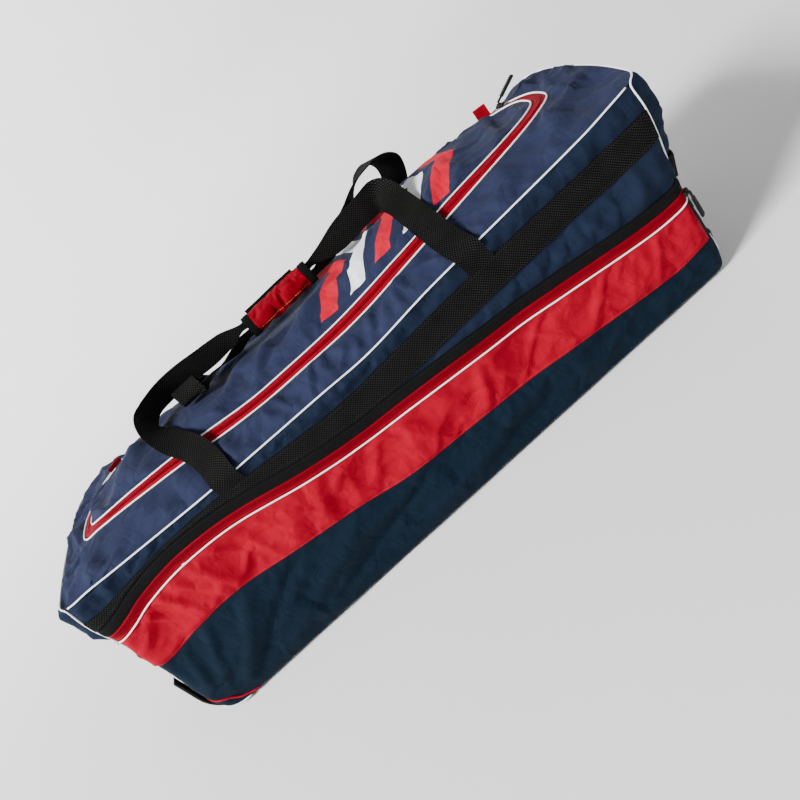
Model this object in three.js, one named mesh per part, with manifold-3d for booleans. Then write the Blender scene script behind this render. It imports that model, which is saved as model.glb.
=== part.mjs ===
// Wheeled kit bag: a long soft bag of sewn panels with a domed, zipped lid, a zip round its side,
// webbing carry handles in a wrapped grip, and two wheels in a moulded guard at one end.
// It lies on its flat base. Millimetres, +Z up, X along the bag from the wheel end to the pull end,
// the front at -Y, and the origin on the floor under the middle of the base.
import * as THREE from 'three';
import { mergeVertices } from 'three/addons/utils/BufferGeometryUtils.js';
import Module from 'manifold-3d';

const wasm = await Module();
wasm.setup();

// Driving dimensions
const LENGTH = 960;
const WIDTH = 315;
const CORNER = 26; // plan radius of the upright corners
const BASE_TURN = 9; // radius where the sides turn under the base
const SIDE_BULGE = 12;
const BULGE_LOW = 0.52; // under one puts the sides' fullest height below the middle
const END_BULGE = 8;
const END_FULL = 110; // height from which the ends bulge fully
const DOME_POWER = 2.2; // how square the top's cross section is
const CLOTH = 2;
const GAP = 0.3;

const PIPING_RADIUS = 2.1;
const PIPING_HALF = PIPING_RADIUS * Math.SQRT1_2; // half width of its four-sided section
const PIPING_ROOM = PIPING_HALF + 2 * GAP; // from a piped seam's line to the panels' edges
const WEBBING = 40;
const WEBBING_THICK = 2;

const TAPE_ABOVE = 8; // zip tape over the coil
const TAPE_BELOW = 9; // zip tape under the coil
const TAPE_THICK = 1.2;
const COIL_HALF = 2.4;
const COIL_HEIGHT = 1.6;
const BINDING_WIDTH = 14;

const RING_LENGTH = 434; // half length of the lid zip's middle line
const RING_WIDTH = 101; // half width of the same line
const RING_POWER = 2.8;
const RING_X = -5;
const RING_TAPE = 9; // half width of the lid zip's tape
const LID_RISE = 8; // how far the lid stands over the ring's own dome

const WHEEL_RADIUS = 36;
const WHEEL_WIDTH = 22;
const WHEEL_X = -448;
const WHEEL_Y = 116;
const WHEEL_Z = 38;
const AXLE_RADIUS = 4;
const GUARD_X = -486; // the guard's outer face
const GUARD_TOP = 102;
const GUARD_TURN = 55;
const GUARD_THICK = 4;
const GUARD_HALF = 155; // half the guard's width across the bag
const GUARD_LIP = -404; // where the guard's floor meets the base panel
const WELL_SIDE = 3; // clearance beside a wheel
const WELL_WALL = 3;
const WELL_TOP = 80;

// Steps along the bag's outline: each run between two corner seams has two steps on each half corner.
const SIDE_STEPS = 18;
const END_STEPS = 4;
const CORNER_STEPS = 2;

// Cross sections from the wheel end to the pull end. Heights over the floor of the top's piped edge,
// the lid's crown, the side strap's upper edge, the side zip's coil and the red panel's lower seam.
const SECTIONS = [
  { x: -480, edge: 292, crown: 303, strap: 263, zip: 218, seam: 143 },
  { x: -440, edge: 293, crown: 311, strap: 261, zip: 224, seam: 141 },
  { x: -400, edge: 290, crown: 324, strap: 264, zip: 234, seam: 147 },
  { x: -330, edge: 285, crown: 335, strap: 268, zip: 241, seam: 151 },
  { x: -240, edge: 279, crown: 338, strap: 266, zip: 232, seam: 138 },
  { x: -140, edge: 275, crown: 328, strap: 255, zip: 208, seam: 121 },
  { x: -50, edge: 272, crown: 323, strap: 246, zip: 191, seam: 102 },
  { x: 30, edge: 269, crown: 324, strap: 247, zip: 184, seam: 94 },
  { x: 140, edge: 277, crown: 331, strap: 251, zip: 172, seam: 86 },
  { x: 270, edge: 281, crown: 338, strap: 253, zip: 155, seam: 71 },
  { x: 400, edge: 286, crown: 327, strap: 254, zip: 135, seam: 54 },
  { x: 450, edge: 291, crown: 317, strap: 255, zip: 133, seam: 57 },
  { x: 480, edge: 294, crown: 311, strap: 256, zip: 138, seam: 60 },
];

// How far each end stands out from the bag's nominal length, by height.
const WHEEL_END = [
  { z: 0, out: -6 },
  { z: 110, out: -5 },
  { z: 157, out: -3 },
  { z: 212, out: 1 },
  { z: 247, out: 11 },
  { z: 277, out: 11 },
  { z: 297, out: 5 },
];
const PULL_END = [
  { z: 0, out: -13 },
  { z: 32, out: -7 },
  { z: 52, out: -10 },
  { z: 73, out: -15 },
  { z: 103, out: -18 },
  { z: 138, out: -15 },
  { z: 162, out: -9 },
  { z: 190, out: 1 },
  { z: 222, out: 13 },
  { z: 258, out: 21 },
  { z: 297, out: 16 },
];

// Main dents of the side panels and of the top: middle, half length, half width, slant from the
// X axis in degrees, and depth. The back has the side dents turned end for end.
const SIDE_DENTS = [
  { x: -410, z: 182, long: 70, wide: 38, slant: 55, depth: 6 },
  { x: -270, z: 192, long: 60, wide: 40, slant: 70, depth: 5 },
  { x: -60, z: 157, long: 90, wide: 45, slant: 35, depth: 5 },
  { x: 190, z: 122, long: 80, wide: 42, slant: 60, depth: 5 },
  { x: 330, z: 212, long: 70, wide: 30, slant: 20, depth: 4 },
  { x: 20, z: 67, long: 130, wide: 34, slant: 15, depth: 4 },
];
const TOP_DENTS = [
  { x: -130, y: -60, long: 60, wide: 34, slant: 125, depth: 2 },
  { x: 60, y: -140, long: 70, wide: 26, slant: 10, depth: 4 },
  { x: 150, y: 70, long: 80, wide: 45, slant: 60, depth: 3 },
  { x: -300, y: 60, long: 70, wide: 45, slant: 100, depth: 3 },
  { x: 330, y: -30, long: 80, wide: 34, slant: 40, depth: 2 },
];

// The webbing handles, from the wheel end's anchor to the pull end's: the strap's middle, the way
// its inner edge lies from there, and its width, which the grip folds up.
const FRONT_HANDLE = [
  { x: -209, y: -162, z: 269, ax: 1, ay: 0, az: 0, width: 40 },
  { x: -209, y: -162, z: 280, ax: 1, ay: 0, az: 0, width: 40 },
  { x: -210, y: -142, z: 297, ax: 1, ay: 0, az: 0, width: 40 },
  { x: -216, y: -119, z: 310, ax: 1, ay: 0.05, az: 0, width: 40 },
  { x: -227, y: -97, z: 322, ax: 0.97, ay: 0.2, az: 0, width: 40 },
  { x: -241, y: -77, z: 332, ax: 0.9, ay: 0.42, az: -0.1, width: 40 },
  { x: -251, y: -57, z: 340, ax: 0.76, ay: 0.62, az: -0.2, width: 40 },
  { x: -260, y: -36, z: 349, ax: 0.5, ay: 0.75, az: -0.42, width: 40 },
  { x: -264, y: -12, z: 356, ax: 0.25, ay: 0.7, az: -0.66, width: 40 },
  { x: -261, y: 8, z: 357, ax: 0.1, ay: 0.6, az: -0.8, width: 40 },
  { x: -252, y: 22, z: 359, ax: 0, ay: 0.48, az: -0.88, width: 40 },
  { x: -228, y: 30, z: 360, ax: 0, ay: 0.35, az: -0.93, width: 40 },
  { x: -195, y: 32, z: 359, ax: 0, ay: 0.25, az: -0.97, width: 39 },
  { x: -150, y: 32, z: 354, ax: 0, ay: 0.2, az: -0.98, width: 37 },
  { x: -113, y: 29, z: 353, ax: 0, ay: 0.2, az: -0.98, width: 30 },
  { x: -86, y: 22, z: 353, ax: 0, ay: 0.1, az: -0.99, width: 12 },
  { x: -72, y: 20, z: 352, ax: 0, ay: 0, az: -1, width: 11 },
  { x: -16, y: 20, z: 352, ax: 0, ay: 0, az: -1, width: 11 },
  { x: 40, y: 20, z: 352, ax: 0, ay: 0, az: -1, width: 11 },
  { x: 54, y: 19, z: 353, ax: 0, ay: 0.1, az: -0.99, width: 12 },
  { x: 89, y: 16, z: 352, ax: 0, ay: 0.1, az: -0.99, width: 32 },
  { x: 119, y: 13, z: 356, ax: 0, ay: 0.1, az: -0.99, width: 40 },
  { x: 151, y: 11, z: 359, ax: 0, ay: 0.1, az: -0.99, width: 40 },
  { x: 183, y: 7, z: 359, ax: -0.72, ay: 0.15, az: -0.67, width: 46 },
  { x: 192, y: -26, z: 347, ax: -1, ay: 0, az: 0, width: 41 },
  { x: 194, y: -76, z: 330, ax: -1, ay: 0, az: 0, width: 40 },
  { x: 195, y: -110, z: 315, ax: -1, ay: 0, az: 0, width: 40 },
  { x: 198, y: -141, z: 297, ax: -1, ay: 0, az: 0, width: 40 },
  { x: 204, y: -163, z: 279, ax: -1, ay: 0, az: 0, width: 40 },
  { x: 207, y: -163, z: 259, ax: -1, ay: 0, az: 0, width: 40 },
];
const BACK_HANDLE = [
  { x: -209, y: 162, z: 269, ax: 1, ay: 0, az: 0, width: 40 },
  { x: -209, y: 162, z: 280, ax: 1, ay: 0, az: 0, width: 40 },
  { x: -208, y: 142, z: 295, ax: 1, ay: 0, az: 0, width: 40 },
  { x: -206, y: 110, z: 311, ax: 1, ay: 0, az: 0, width: 40 },
  { x: -203, y: 75, z: 326, ax: 1, ay: 0, az: 0, width: 40 },
  { x: -200, y: 48, z: 334, ax: 1, ay: 0, az: 0, width: 40 },
  { x: -198, y: 30, z: 338, ax: 1, ay: 0, az: 0, width: 40 },
  { x: -196, y: 17, z: 348, ax: 1, ay: 0, az: 0, width: 40 },
  { x: -194, y: 8, z: 358, ax: 1, ay: 0, az: 0, width: 40 },
  { x: -191, y: -12, z: 360, ax: 1, ay: 0, az: 0, width: 40 },
  { x: -188, y: -32, z: 353, ax: 1, ay: 0, az: 0, width: 40 },
  { x: -187, y: -37, z: 344, ax: 1, ay: 0, az: 0, width: 40 },
  { x: -184, y: -27, z: 337, ax: 0.97, ay: -0.25, az: 0, width: 40 },
  { x: -173, y: -13, z: 339, ax: 0.75, ay: -0.65, az: 0.1, width: 40 },
  { x: -152, y: -5, z: 340, ax: 0.3, ay: -0.92, az: 0.2, width: 38 },
  { x: -128, y: -2, z: 340, ax: 0, ay: -0.93, az: 0.35, width: 34 },
  { x: -106, y: 5, z: 340, ax: 0, ay: -0.75, az: 0.66, width: 26 },
  { x: -86, y: 17, z: 340, ax: 0, ay: -0.2, az: 0.98, width: 12 },
  { x: -72, y: 20, z: 339, ax: 0, ay: 0, az: 1, width: 11 },
  { x: -16, y: 20, z: 339, ax: 0, ay: 0, az: 1, width: 11 },
  { x: 40, y: 20, z: 339, ax: 0, ay: 0, az: 1, width: 11 },
  { x: 54, y: 22, z: 339, ax: 0, ay: -0.1, az: 0.99, width: 12 },
  { x: 82, y: 30, z: 343, ax: 0, ay: -0.25, az: 0.97, width: 24 },
  { x: 112, y: 37, z: 351, ax: 0, ay: -0.45, az: 0.89, width: 34 },
  { x: 140, y: 44, z: 363, ax: -0.15, ay: -0.75, az: 0.62, width: 39 },
  { x: 164, y: 52, z: 377, ax: -0.15, ay: -0.92, az: 0.33, width: 40 },
  { x: 190, y: 64, z: 386, ax: 0.25, ay: -0.95, az: 0.1, width: 40 },
  { x: 217, y: 84, z: 383, ax: 0.6, ay: -0.8, az: 0, width: 40 },
  { x: 235, y: 106, z: 361, ax: 0.85, ay: -0.5, az: 0, width: 40 },
  { x: 234, y: 124, z: 335, ax: 0.97, ay: -0.2, az: 0, width: 40 },
  { x: 224, y: 143, z: 305, ax: 1, ay: 0, az: 0, width: 40 },
  { x: 212, y: 162, z: 278, ax: 1, ay: 0, az: 0, width: 40 },
  { x: 208, y: 162, z: 259, ax: 1, ay: 0, az: 0, width: 40 },
];
const HANDLE_STEPS = 46;

// The wrapped grip round both straps.
const GRIP_FROM = -64;
const GRIP_TO = 34;
const GRIP_BAND = 11; // the bound edge at each end
const GRIP_HEIGHT = 32;
const GRIP_DEPTH = 17;
const GRIP_WALL = 3;
const GRIP_ROUND = 5; // radius of its long edges
const GRIP_Y = 20;
const GRIP_Z = 345.5;

const HALF_LENGTH = LENGTH / 2;
const HALF_WIDTH = WIDTH / 2;
const STRAIGHT_SIDE = LENGTH - 2 * CORNER;
const STRAIGHT_END = WIDTH - 2 * CORNER;
const HALF_CORNER = (CORNER * Math.PI) / 4;
const PERIMETER = 2 * STRAIGHT_SIDE + 2 * STRAIGHT_END + 8 * HALF_CORNER;
const LOWEST = BASE_TURN * (1 - Math.PI / 2); // rise at which the wall lies flat on the floor

// The four corner seams, as distances round the outline from the middle of the wheel end.
const FRONT_LEFT = STRAIGHT_END / 2 + HALF_CORNER;
const FRONT_RIGHT = FRONT_LEFT + STRAIGHT_SIDE + 2 * HALF_CORNER;
const BACK_RIGHT = PERIMETER - FRONT_RIGHT;

const NAVY = { color: 0x26335c, roughness: 0.75, metalness: 0 };
const RED = { color: 0xc4122f, roughness: 0.7, metalness: 0 };
const BLACK = { color: 0x17181b, roughness: 0.8, metalness: 0 };
const WHITE = { color: 0xf2f3f4, roughness: 0.5, metalness: 0 };
const MOULDED = { color: 0x101113, roughness: 0.45, metalness: 0 };
const RUBBER = { color: 0x1d1e20, roughness: 0.85, metalness: 0 };
const STEEL = { color: 0xb9bcc0, roughness: 0.3, metalness: 1 };

const bag = new THREE.Group();

// Adds one named piece to the bag.
function piece(name, geometry, finish) {
  const mesh = new THREE.Mesh(geometry, new THREE.MeshStandardMaterial(finish));
  mesh.name = name;
  bag.add(mesh);
  return mesh;
}

// Smooth value of one column of a table, between its rows.
function column(table, by, name, at) {
  const last = table.length - 1;
  let i = 0;
  while (i < last - 1 && at > table[i + 1][by]) i += 1;
  const slope = (k) => {
    const before = table[Math.max(k - 1, 0)];
    const after = table[Math.min(k + 1, last)];
    return (after[name] - before[name]) / (after[by] - before[by]);
  };
  const span = table[i + 1][by] - table[i][by];
  const t = THREE.MathUtils.clamp((at - table[i][by]) / span, 0, 1);
  const blend = t * t * (3 - 2 * t);
  const lean = span * (t * (1 - t) ** 2 * slope(i) - t * t * (1 - t) * slope(i + 1));
  return THREE.MathUtils.lerp(table[i][name], table[i + 1][name], blend) + lean;
}

const section = (name, x) => column(SECTIONS, 'x', name, x);

// Depth of a table's dents at one place, in the table's own two axes.
function dents(table, across, x, y) {
  let depth = 0;
  for (const dent of table) {
    const turn = THREE.MathUtils.degToRad(dent.slant);
    const dx = x - dent.x;
    const dy = y - dent[across];
    const long = (dx * Math.cos(turn) + dy * Math.sin(turn)) / dent.long;
    const wide = (dy * Math.cos(turn) - dx * Math.sin(turn)) / dent.wide;
    depth += dent.depth * Math.exp(-long * long - wide * wide);
  }
  return depth;
}

// The wall: the bag's outline seen from above, followed upwards.

const outline = new THREE.Path();
outline.moveTo(-HALF_LENGTH, 0);
outline.lineTo(-HALF_LENGTH, CORNER - HALF_WIDTH);
for (const [sx, sy, start] of [[-1, -1, 2], [1, -1, 3], [1, 1, 0], [-1, 1, 1]]) {
  const from = (start * Math.PI) / 2;
  outline.absarc(sx * (HALF_LENGTH - CORNER), sy * (HALF_WIDTH - CORNER), CORNER, from, from + Math.PI / 2);
}
outline.lineTo(-HALF_LENGTH, 0);

function sideSwell(x, y, z) {
  const rise = THREE.MathUtils.clamp(z / section('edge', x), 0, 1);
  const swell = SIDE_BULGE * Math.sin(Math.PI * rise ** BULGE_LOW);
  return swell - Math.sin(Math.PI * rise) * dents(SIDE_DENTS, 'z', y < 0 ? x : -x, z);
}

function endSwell(x, y, z) {
  const crossing = 1 - (y / HALF_WIDTH) ** 2;
  const rise = THREE.MathUtils.smoothstep(z, 0, END_FULL);
  return column(x < 0 ? WHEEL_END : PULL_END, 'z', 'out', z) + END_BULGE * crossing * rise;
}

// A point of the wall at a distance round the outline. Rise is the height up the wall; below the
// turn it goes on round the turn until the wall lies flat on the floor.
function wall(distance, rise) {
  const t = THREE.MathUtils.euclideanModulo(distance / PERIMETER, 1);
  const plan = outline.getPoint(t);
  const tangent = outline.getTangent(t);
  const normal = new THREE.Vector2(tangent.y, -tangent.x);
  const turn = Math.max(BASE_TURN - rise, 0) / BASE_TURN;
  const z = turn > 0 ? BASE_TURN * (1 - Math.sin(turn)) : rise;
  const ends = normal.x ** 2 * endSwell(plan.x, plan.y, z);
  const sides = normal.y ** 2 * sideSwell(plan.x, plan.y, z);
  plan.addScaledVector(normal, ends + sides - BASE_TURN * (1 - Math.cos(turn)));
  return new THREE.Vector3(plan.x, plan.y, z);
}

// A place on the wall with its outward normal and the two ways along it.
function onWall(distance, rise) {
  const step = 0.4;
  const along = wall(distance + step, rise).sub(wall(distance - step, rise)).normalize();
  const up = wall(distance, rise + step).sub(wall(distance, rise - step)).normalize();
  const out = new THREE.Vector3().crossVectors(along, up).normalize();
  return { point: wall(distance, rise), along, up, out };
}

const raised = (place, out) => place.point.clone().addScaledVector(place.out, out);

// Height of the top, without the lid's own rise.
function topHeight(x, y) {
  const across = Math.min(Math.abs(y) / HALF_WIDTH, 1);
  const edge = section('edge', x);
  const dome = 1 - across ** DOME_POWER;
  const dent = dents(TOP_DENTS, 'y', x, y) * Math.min(1, 4 * dome);
  return edge + (section('crown', x) - LID_RISE - edge) * dome - dent;
}

function onTop(x, y, lift = () => 0) {
  const height = (px, py) => topHeight(px, py) + lift(px, py);
  const slopeX = height(x + 1, y) - height(x - 1, y);
  const slopeY = height(x, y + 1) - height(x, y - 1);
  const out = new THREE.Vector3(-slopeX / 2, -slopeY / 2, 1).normalize();
  return { point: new THREE.Vector3(x, y, height(x, y)), out };
}

// Height of the piped edge, at a distance round the outline.
function edgeRise(distance) {
  const plan = outline.getPoint(THREE.MathUtils.euclideanModulo(distance / PERIMETER, 1));
  return topHeight(plan.x, plan.y);
}

// Distances from one corner seam to the next, with the ends trimmed back from the seams.
function run(from, straight, steps, trimFrom, trimTo) {
  const places = [];
  for (let i = 0; i < CORNER_STEPS; i += 1) places.push((HALF_CORNER * i) / CORNER_STEPS);
  for (let i = 0; i <= steps; i += 1) places.push(HALF_CORNER + (straight * i) / steps);
  for (let i = 1; i <= CORNER_STEPS; i += 1) {
    places.push(HALF_CORNER + straight + (HALF_CORNER * i) / CORNER_STEPS);
  }
  places[0] += trimFrom;
  places[places.length - 1] -= trimTo;
  return places.map((place) => from + place);
}

const frontRun = (trimFrom, trimTo) => run(FRONT_LEFT, STRAIGHT_SIDE, SIDE_STEPS, trimFrom, trimTo);
const pullRun = (trim) => run(FRONT_RIGHT, STRAIGHT_END, END_STEPS, trim, trim);
const wheelRun = (trim) => run(-FRONT_LEFT, STRAIGHT_END, END_STEPS, trim, trim);
const backOf = (distances) => distances.map((distance) => PERIMETER - distance);
const xAt = (distance) => wall(distance, BASE_TURN).x;

// Moves each corner of a plain shape to its place, joins shared corners and turns the faces out.
function bend(geometry, place) {
  const corners = geometry.attributes.position;
  const from = new THREE.Vector3();
  for (let i = 0; i < corners.count; i += 1) {
    const to = place(from.fromBufferAttribute(corners, i));
    corners.setXYZ(i, to.x, to.y, to.z);
  }
  geometry.deleteAttribute('normal');
  geometry.deleteAttribute('uv');
  const solid = mergeVertices(geometry, 1e-3);
  if (volume(solid) < 0) solid.index.array.reverse();
  solid.computeVertexNormals();
  return solid;
}

function volume(geometry) {
  const corners = geometry.attributes.position;
  const corner = (i) => new THREE.Vector3().fromBufferAttribute(corners, geometry.index.getX(i));
  let sum = 0;
  for (let i = 0; i < geometry.index.count; i += 3) {
    sum += corner(i).dot(corner(i + 1).cross(corner(i + 2)));
  }
  return sum;
}

// A cloth panel on the wall between rows of rises, each row a function of the distance.
function wallPanel(distances, rows, inner, outer) {
  const shape = new THREE.BoxGeometry(1, 1, 1, distances.length - 1, rows.length - 1, 1);
  return bend(shape, (at) => {
    const distance = distances[Math.round((at.x + 0.5) * (distances.length - 1))];
    const rise = rows[Math.round((at.y + 0.5) * (rows.length - 1))](distance);
    return raised(onWall(distance, rise), at.z < 0 ? inner : outer);
  });
}

// Rows spaced evenly, or closer to the first one, between two rises.
function rowsBetween(low, high, count, ease = 1) {
  return Array.from({ length: count + 1 }, (_, i) => (distance) =>
    THREE.MathUtils.lerp(low(distance), high(distance), (i / count) ** ease));
}

// A flat section swept along places: its x lies across the way, and its y points out.
function sweep(profile, places, twisted = false) {
  const steps = places.length - 1;
  const extrusion = { depth: 1, steps, bevelEnabled: false };
  const shape = new THREE.ExtrudeGeometry(new THREE.Shape(profile), extrusion);
  if (twisted) turnDiagonals(shape, steps);
  return bend(shape, (at) => {
    const place = places[Math.round(at.z * steps)];
    const scale = place.scale ?? 1;
    return raised(place, at.y).addScaledVector(place.across, at.x * scale);
  });
}

// Splits the squares of one broad face along their other diagonal, as on the face behind them, so
// that a twisted strap keeps its thickness.
const SQUARE_CORNERS = 6; // of a square's two triangles
function turnDiagonals(shape, steps) {
  const corners = shape.attributes.position;
  const copy = (to, from) => corners.setXYZ(to, corners.getX(from), corners.getY(from), corners.getZ(from));
  const face = SQUARE_CORNERS * steps;
  const first = shape.groups[1].start + 2 * face;
  for (let i = first; i < first + face; i += SQUARE_CORNERS) {
    copy(i + 2, i + 4);
    copy(i + 3, i);
  }
}

// The same, closed on itself: the places go round a ring, and each corner of the section is
// worked out there.
function loop(places, corners, cornerAt) {
  const shape = new THREE.TorusGeometry(2, 1, corners, places.length);
  return bend(shape, (at) => {
    const round = Math.atan2(at.y, at.x) / (2 * Math.PI);
    const tube = Math.atan2(at.z, Math.hypot(at.x, at.y) - 2) / (2 * Math.PI);
    const i = THREE.MathUtils.euclideanModulo(Math.round(round * places.length), places.length);
    const k = THREE.MathUtils.euclideanModulo(Math.round(tube * corners), corners);
    return cornerAt(places[i], k);
  });
}

const PIPING_SIDES = 4;
const pipingCorner = (k, sides) => {
  const angle = (2 * Math.PI * (k + 0.5)) / sides;
  return new THREE.Vector2(PIPING_RADIUS * Math.cos(angle), PIPING_RADIUS * Math.sin(angle));
};
const PIPING_SECTION = Array.from({ length: PIPING_SIDES }, (_, k) => pipingCorner(k, PIPING_SIDES));

// Piping along places on the wall, laid square to its own way.
function piping(places, section = PIPING_SECTION) {
  const squared = places.map((place, i) => {
    const before = places[Math.max(i - 1, 0)].point;
    const after = places[Math.min(i + 1, places.length - 1)].point;
    const way = after.clone().sub(before).normalize();
    const across = new THREE.Vector3().crossVectors(place.out, way).normalize();
    return { ...place, across };
  });
  return sweep(section, squared);
}

// Rises of the seams and edges on the wall, as functions of the distance.
const zipRise = (distance) => section('zip', xAt(distance));
const tapeTop = (distance) => zipRise(distance) + TAPE_ABOVE;
const bindingLow = (distance) => tapeTop(distance) + GAP;
const bindingTop = (distance) => bindingLow(distance) + BINDING_WIDTH;
const upperLow = (distance) => bindingTop(distance) + GAP;
const upperTop = (distance) => edgeRise(distance) - PIPING_ROOM;
const STRAP_LEAST = 2.5; // where the binding runs up under it
const STRAP_CLEAR = 1.5;
const strapFloor = (distance) => upperLow(distance) + STRAP_CLEAR;
const strapTop = (distance) =>
  Math.max(section('strap', xAt(distance)), strapFloor(distance) + STRAP_LEAST);
const strapLow = (distance) => Math.max(strapTop(distance) - WEBBING, strapFloor(distance));
const tapeLow = (distance) => zipRise(distance) - TAPE_BELOW;
const redPiping = (distance) => tapeLow(distance) - PIPING_HALF - 2 * GAP;
const redTop = (distance) => redPiping(distance) - PIPING_ROOM;
const seamRise = (distance) => section('seam', xAt(distance));
const redLow = (distance) => seamRise(distance) + GAP;
const lowerTop = (distance) => seamRise(distance);

// Rise of the piped seam where a side panel meets the wheel guard's round corner.
const GUARD_SEAM = GUARD_TURN - GUARD_THICK - PIPING_HALF - 2 * GAP;
const GUARD_MIDDLE = GUARD_X + GUARD_TURN;
function guardSeam(x) {
  const reach = THREE.MathUtils.clamp(GUARD_MIDDLE - x, 0, GUARD_SEAM - 1);
  return GUARD_TURN - Math.sqrt(GUARD_SEAM ** 2 - reach ** 2);
}

// Lowest rise of a side panel: flat on the floor, or drawn up over the wheel guard.
function lowerLow(distance) {
  const x = xAt(distance);
  const lifted = guardSeam(x) + PIPING_ROOM;
  const ease = THREE.MathUtils.smoothstep(x, GUARD_MIDDLE, GUARD_MIDDLE + 2 * BASE_TURN);
  return THREE.MathUtils.lerp(lifted, LOWEST, ease);
}

// Side panels, front and back

const LOWER_EASE = 1.6;
for (const [name, flip] of [['front', (d) => d], ['back', backOf]]) {
  const seamed = flip(frontRun(PIPING_ROOM, PIPING_ROOM));
  const zipped = flip(frontRun(PIPING_ROOM, GAP / 2));
  const piped = flip(frontRun(PIPING_ROOM + PIPING_RADIUS, PIPING_ROOM + PIPING_RADIUS));

  const lowerRows = rowsBetween(lowerLow, lowerTop, 4, LOWER_EASE);
  piece(`lower_panel_${name}`, wallPanel(seamed, lowerRows, -CLOTH, 0), NAVY);
  piece(`red_panel_${name}`, wallPanel(seamed, rowsBetween(redLow, redTop, 2), -CLOTH, 0), RED);
  piece(`upper_panel_${name}`, wallPanel(seamed, [upperLow, strapLow, strapTop, upperTop], -CLOTH, 0), NAVY);
  const webbing = wallPanel([...seamed].reverse(), [strapLow, strapTop], GAP, GAP + WEBBING_THICK);
  piece(`side_strap_${name}`, webbing, BLACK);
  const binding = wallPanel(zipped, [bindingLow, bindingTop], -TAPE_THICK, 1);
  piece(`zip_binding_${name}`, binding, BLACK);
  piece(`side_zip_${name}`, sideZip(zipped), RED);

  const underZip = piped.map((distance) => onWall(distance, redPiping(distance)));
  piece(`zip_piping_${name}`, piping(underZip), WHITE);
  const edge = piped.map((distance) => onWall(distance, edgeRise(distance)));
  piece(`top_piping_${name}`, piping(edge), WHITE);
}

// Zip tape with its coil standing along the middle
function sideZip(distances) {
  const profile = [
    [-TAPE_BELOW, -TAPE_THICK],
    [TAPE_ABOVE, -TAPE_THICK],
    [TAPE_ABOVE, 0],
    [COIL_HALF, 0],
    [COIL_HALF, COIL_HEIGHT],
    [-COIL_HALF, COIL_HEIGHT],
    [-COIL_HALF, 0],
    [-TAPE_BELOW, 0],
  ].map(([x, y]) => new THREE.Vector2(x, y));
  const places = distances.map((distance) => {
    const place = onWall(distance, zipRise(distance));
    return { ...place, across: place.up };
  });
  return sweep(profile, places);
}

// The pull end: an upper and a lower panel with the zip and its binding running round between them

const pullSeamed = pullRun(PIPING_ROOM);
const pullZipped = pullRun(GAP / 2);
const pullLowTop = (distance) => tapeLow(distance) - GAP;
const pullLowRows = rowsBetween(() => LOWEST, pullLowTop, 6, 1.2);
piece('pull_end_lower', wallPanel(pullSeamed, pullLowRows, -CLOTH, 0), NAVY);
piece('pull_end_upper', wallPanel(pullSeamed, rowsBetween(upperLow, upperTop, 4), -CLOTH, 0), NAVY);
piece('zip_binding_end', wallPanel(pullZipped, [bindingLow, bindingTop], -TAPE_THICK, 1), BLACK);
piece('side_zip_end', sideZip(pullZipped), RED);

// The wheel end: one panel over the guard
const guardRise = () => GUARD_TOP + GAP;
const wheelEndRows = rowsBetween(guardRise, upperTop, 4);
piece('wheel_end_panel', wallPanel(wheelRun(PIPING_ROOM), wheelEndRows, -CLOTH, 0), NAVY);

// Piping up one corner seam, over the end's top edge and down the other corner
function endPiping(name, fromCorner, toCorner, overTop, upright) {
  const up = upright(fromCorner).map((rise) => onWall(fromCorner, rise));
  const over = overTop.map((distance) => onWall(distance, edgeRise(distance)));
  const down = upright(toCorner).reverse().map((rise) => onWall(toCorner, rise));
  piece(name, piping([...up, ...over, ...down]), WHITE);
}

function evenly(from, to, count) {
  return Array.from({ length: count + 1 }, (_, i) => from + ((to - from) * i) / count);
}

function pullUpright(corner) {
  const top = edgeRise(corner) - 2 * PIPING_ROOM;
  return evenly(bindingTop(corner) + PIPING_ROOM, top, 5);
}
endPiping('pull_end_piping', FRONT_RIGHT, BACK_RIGHT, pullRun(0), pullUpright);

const wheelUpright = (corner) => evenly(GUARD_TURN, edgeRise(corner) - 2 * PIPING_ROOM, 6);
endPiping('wheel_end_piping', -FRONT_LEFT, FRONT_LEFT, wheelRun(0), wheelUpright);

const CORNER_PIPING_LOW = 24; // where it runs in under the base
for (const [name, corner] of [['front', FRONT_RIGHT], ['back', BACK_RIGHT]]) {
  const rises = evenly(CORNER_PIPING_LOW, tapeLow(corner) - PIPING_ROOM, 5);
  piece(`pull_corner_piping_${name}`, piping(rises.map((rise) => onWall(corner, rise))), WHITE);
}

// Piping round the side panel's lower corner beside the wheel guard, and the red edge of its
// corner patch

const CORNER_TRIM = [
  { x: -467, rise: 52 },
  { x: -459, rise: 42 },
  { x: -449, rise: 33 },
  { x: -441, rise: 21 },
  { x: -428, rise: 12 },
  { x: -412, rise: 6 },
];
const TRIM_RADIUS = 1.3;
const TRIM_SECTION = PIPING_SECTION.map((at) => at.clone().multiplyScalar(TRIM_RADIUS / PIPING_RADIUS));

// Distance round the outline of a place on the front's wheel end corner or straight side
function frontDistance(x) {
  const past = -(HALF_LENGTH - CORNER) - x;
  const straightFrom = FRONT_LEFT + HALF_CORNER;
  return past > 0 ? straightFrom - CORNER * Math.asin(past / CORNER) : straightFrom - past;
}

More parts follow.
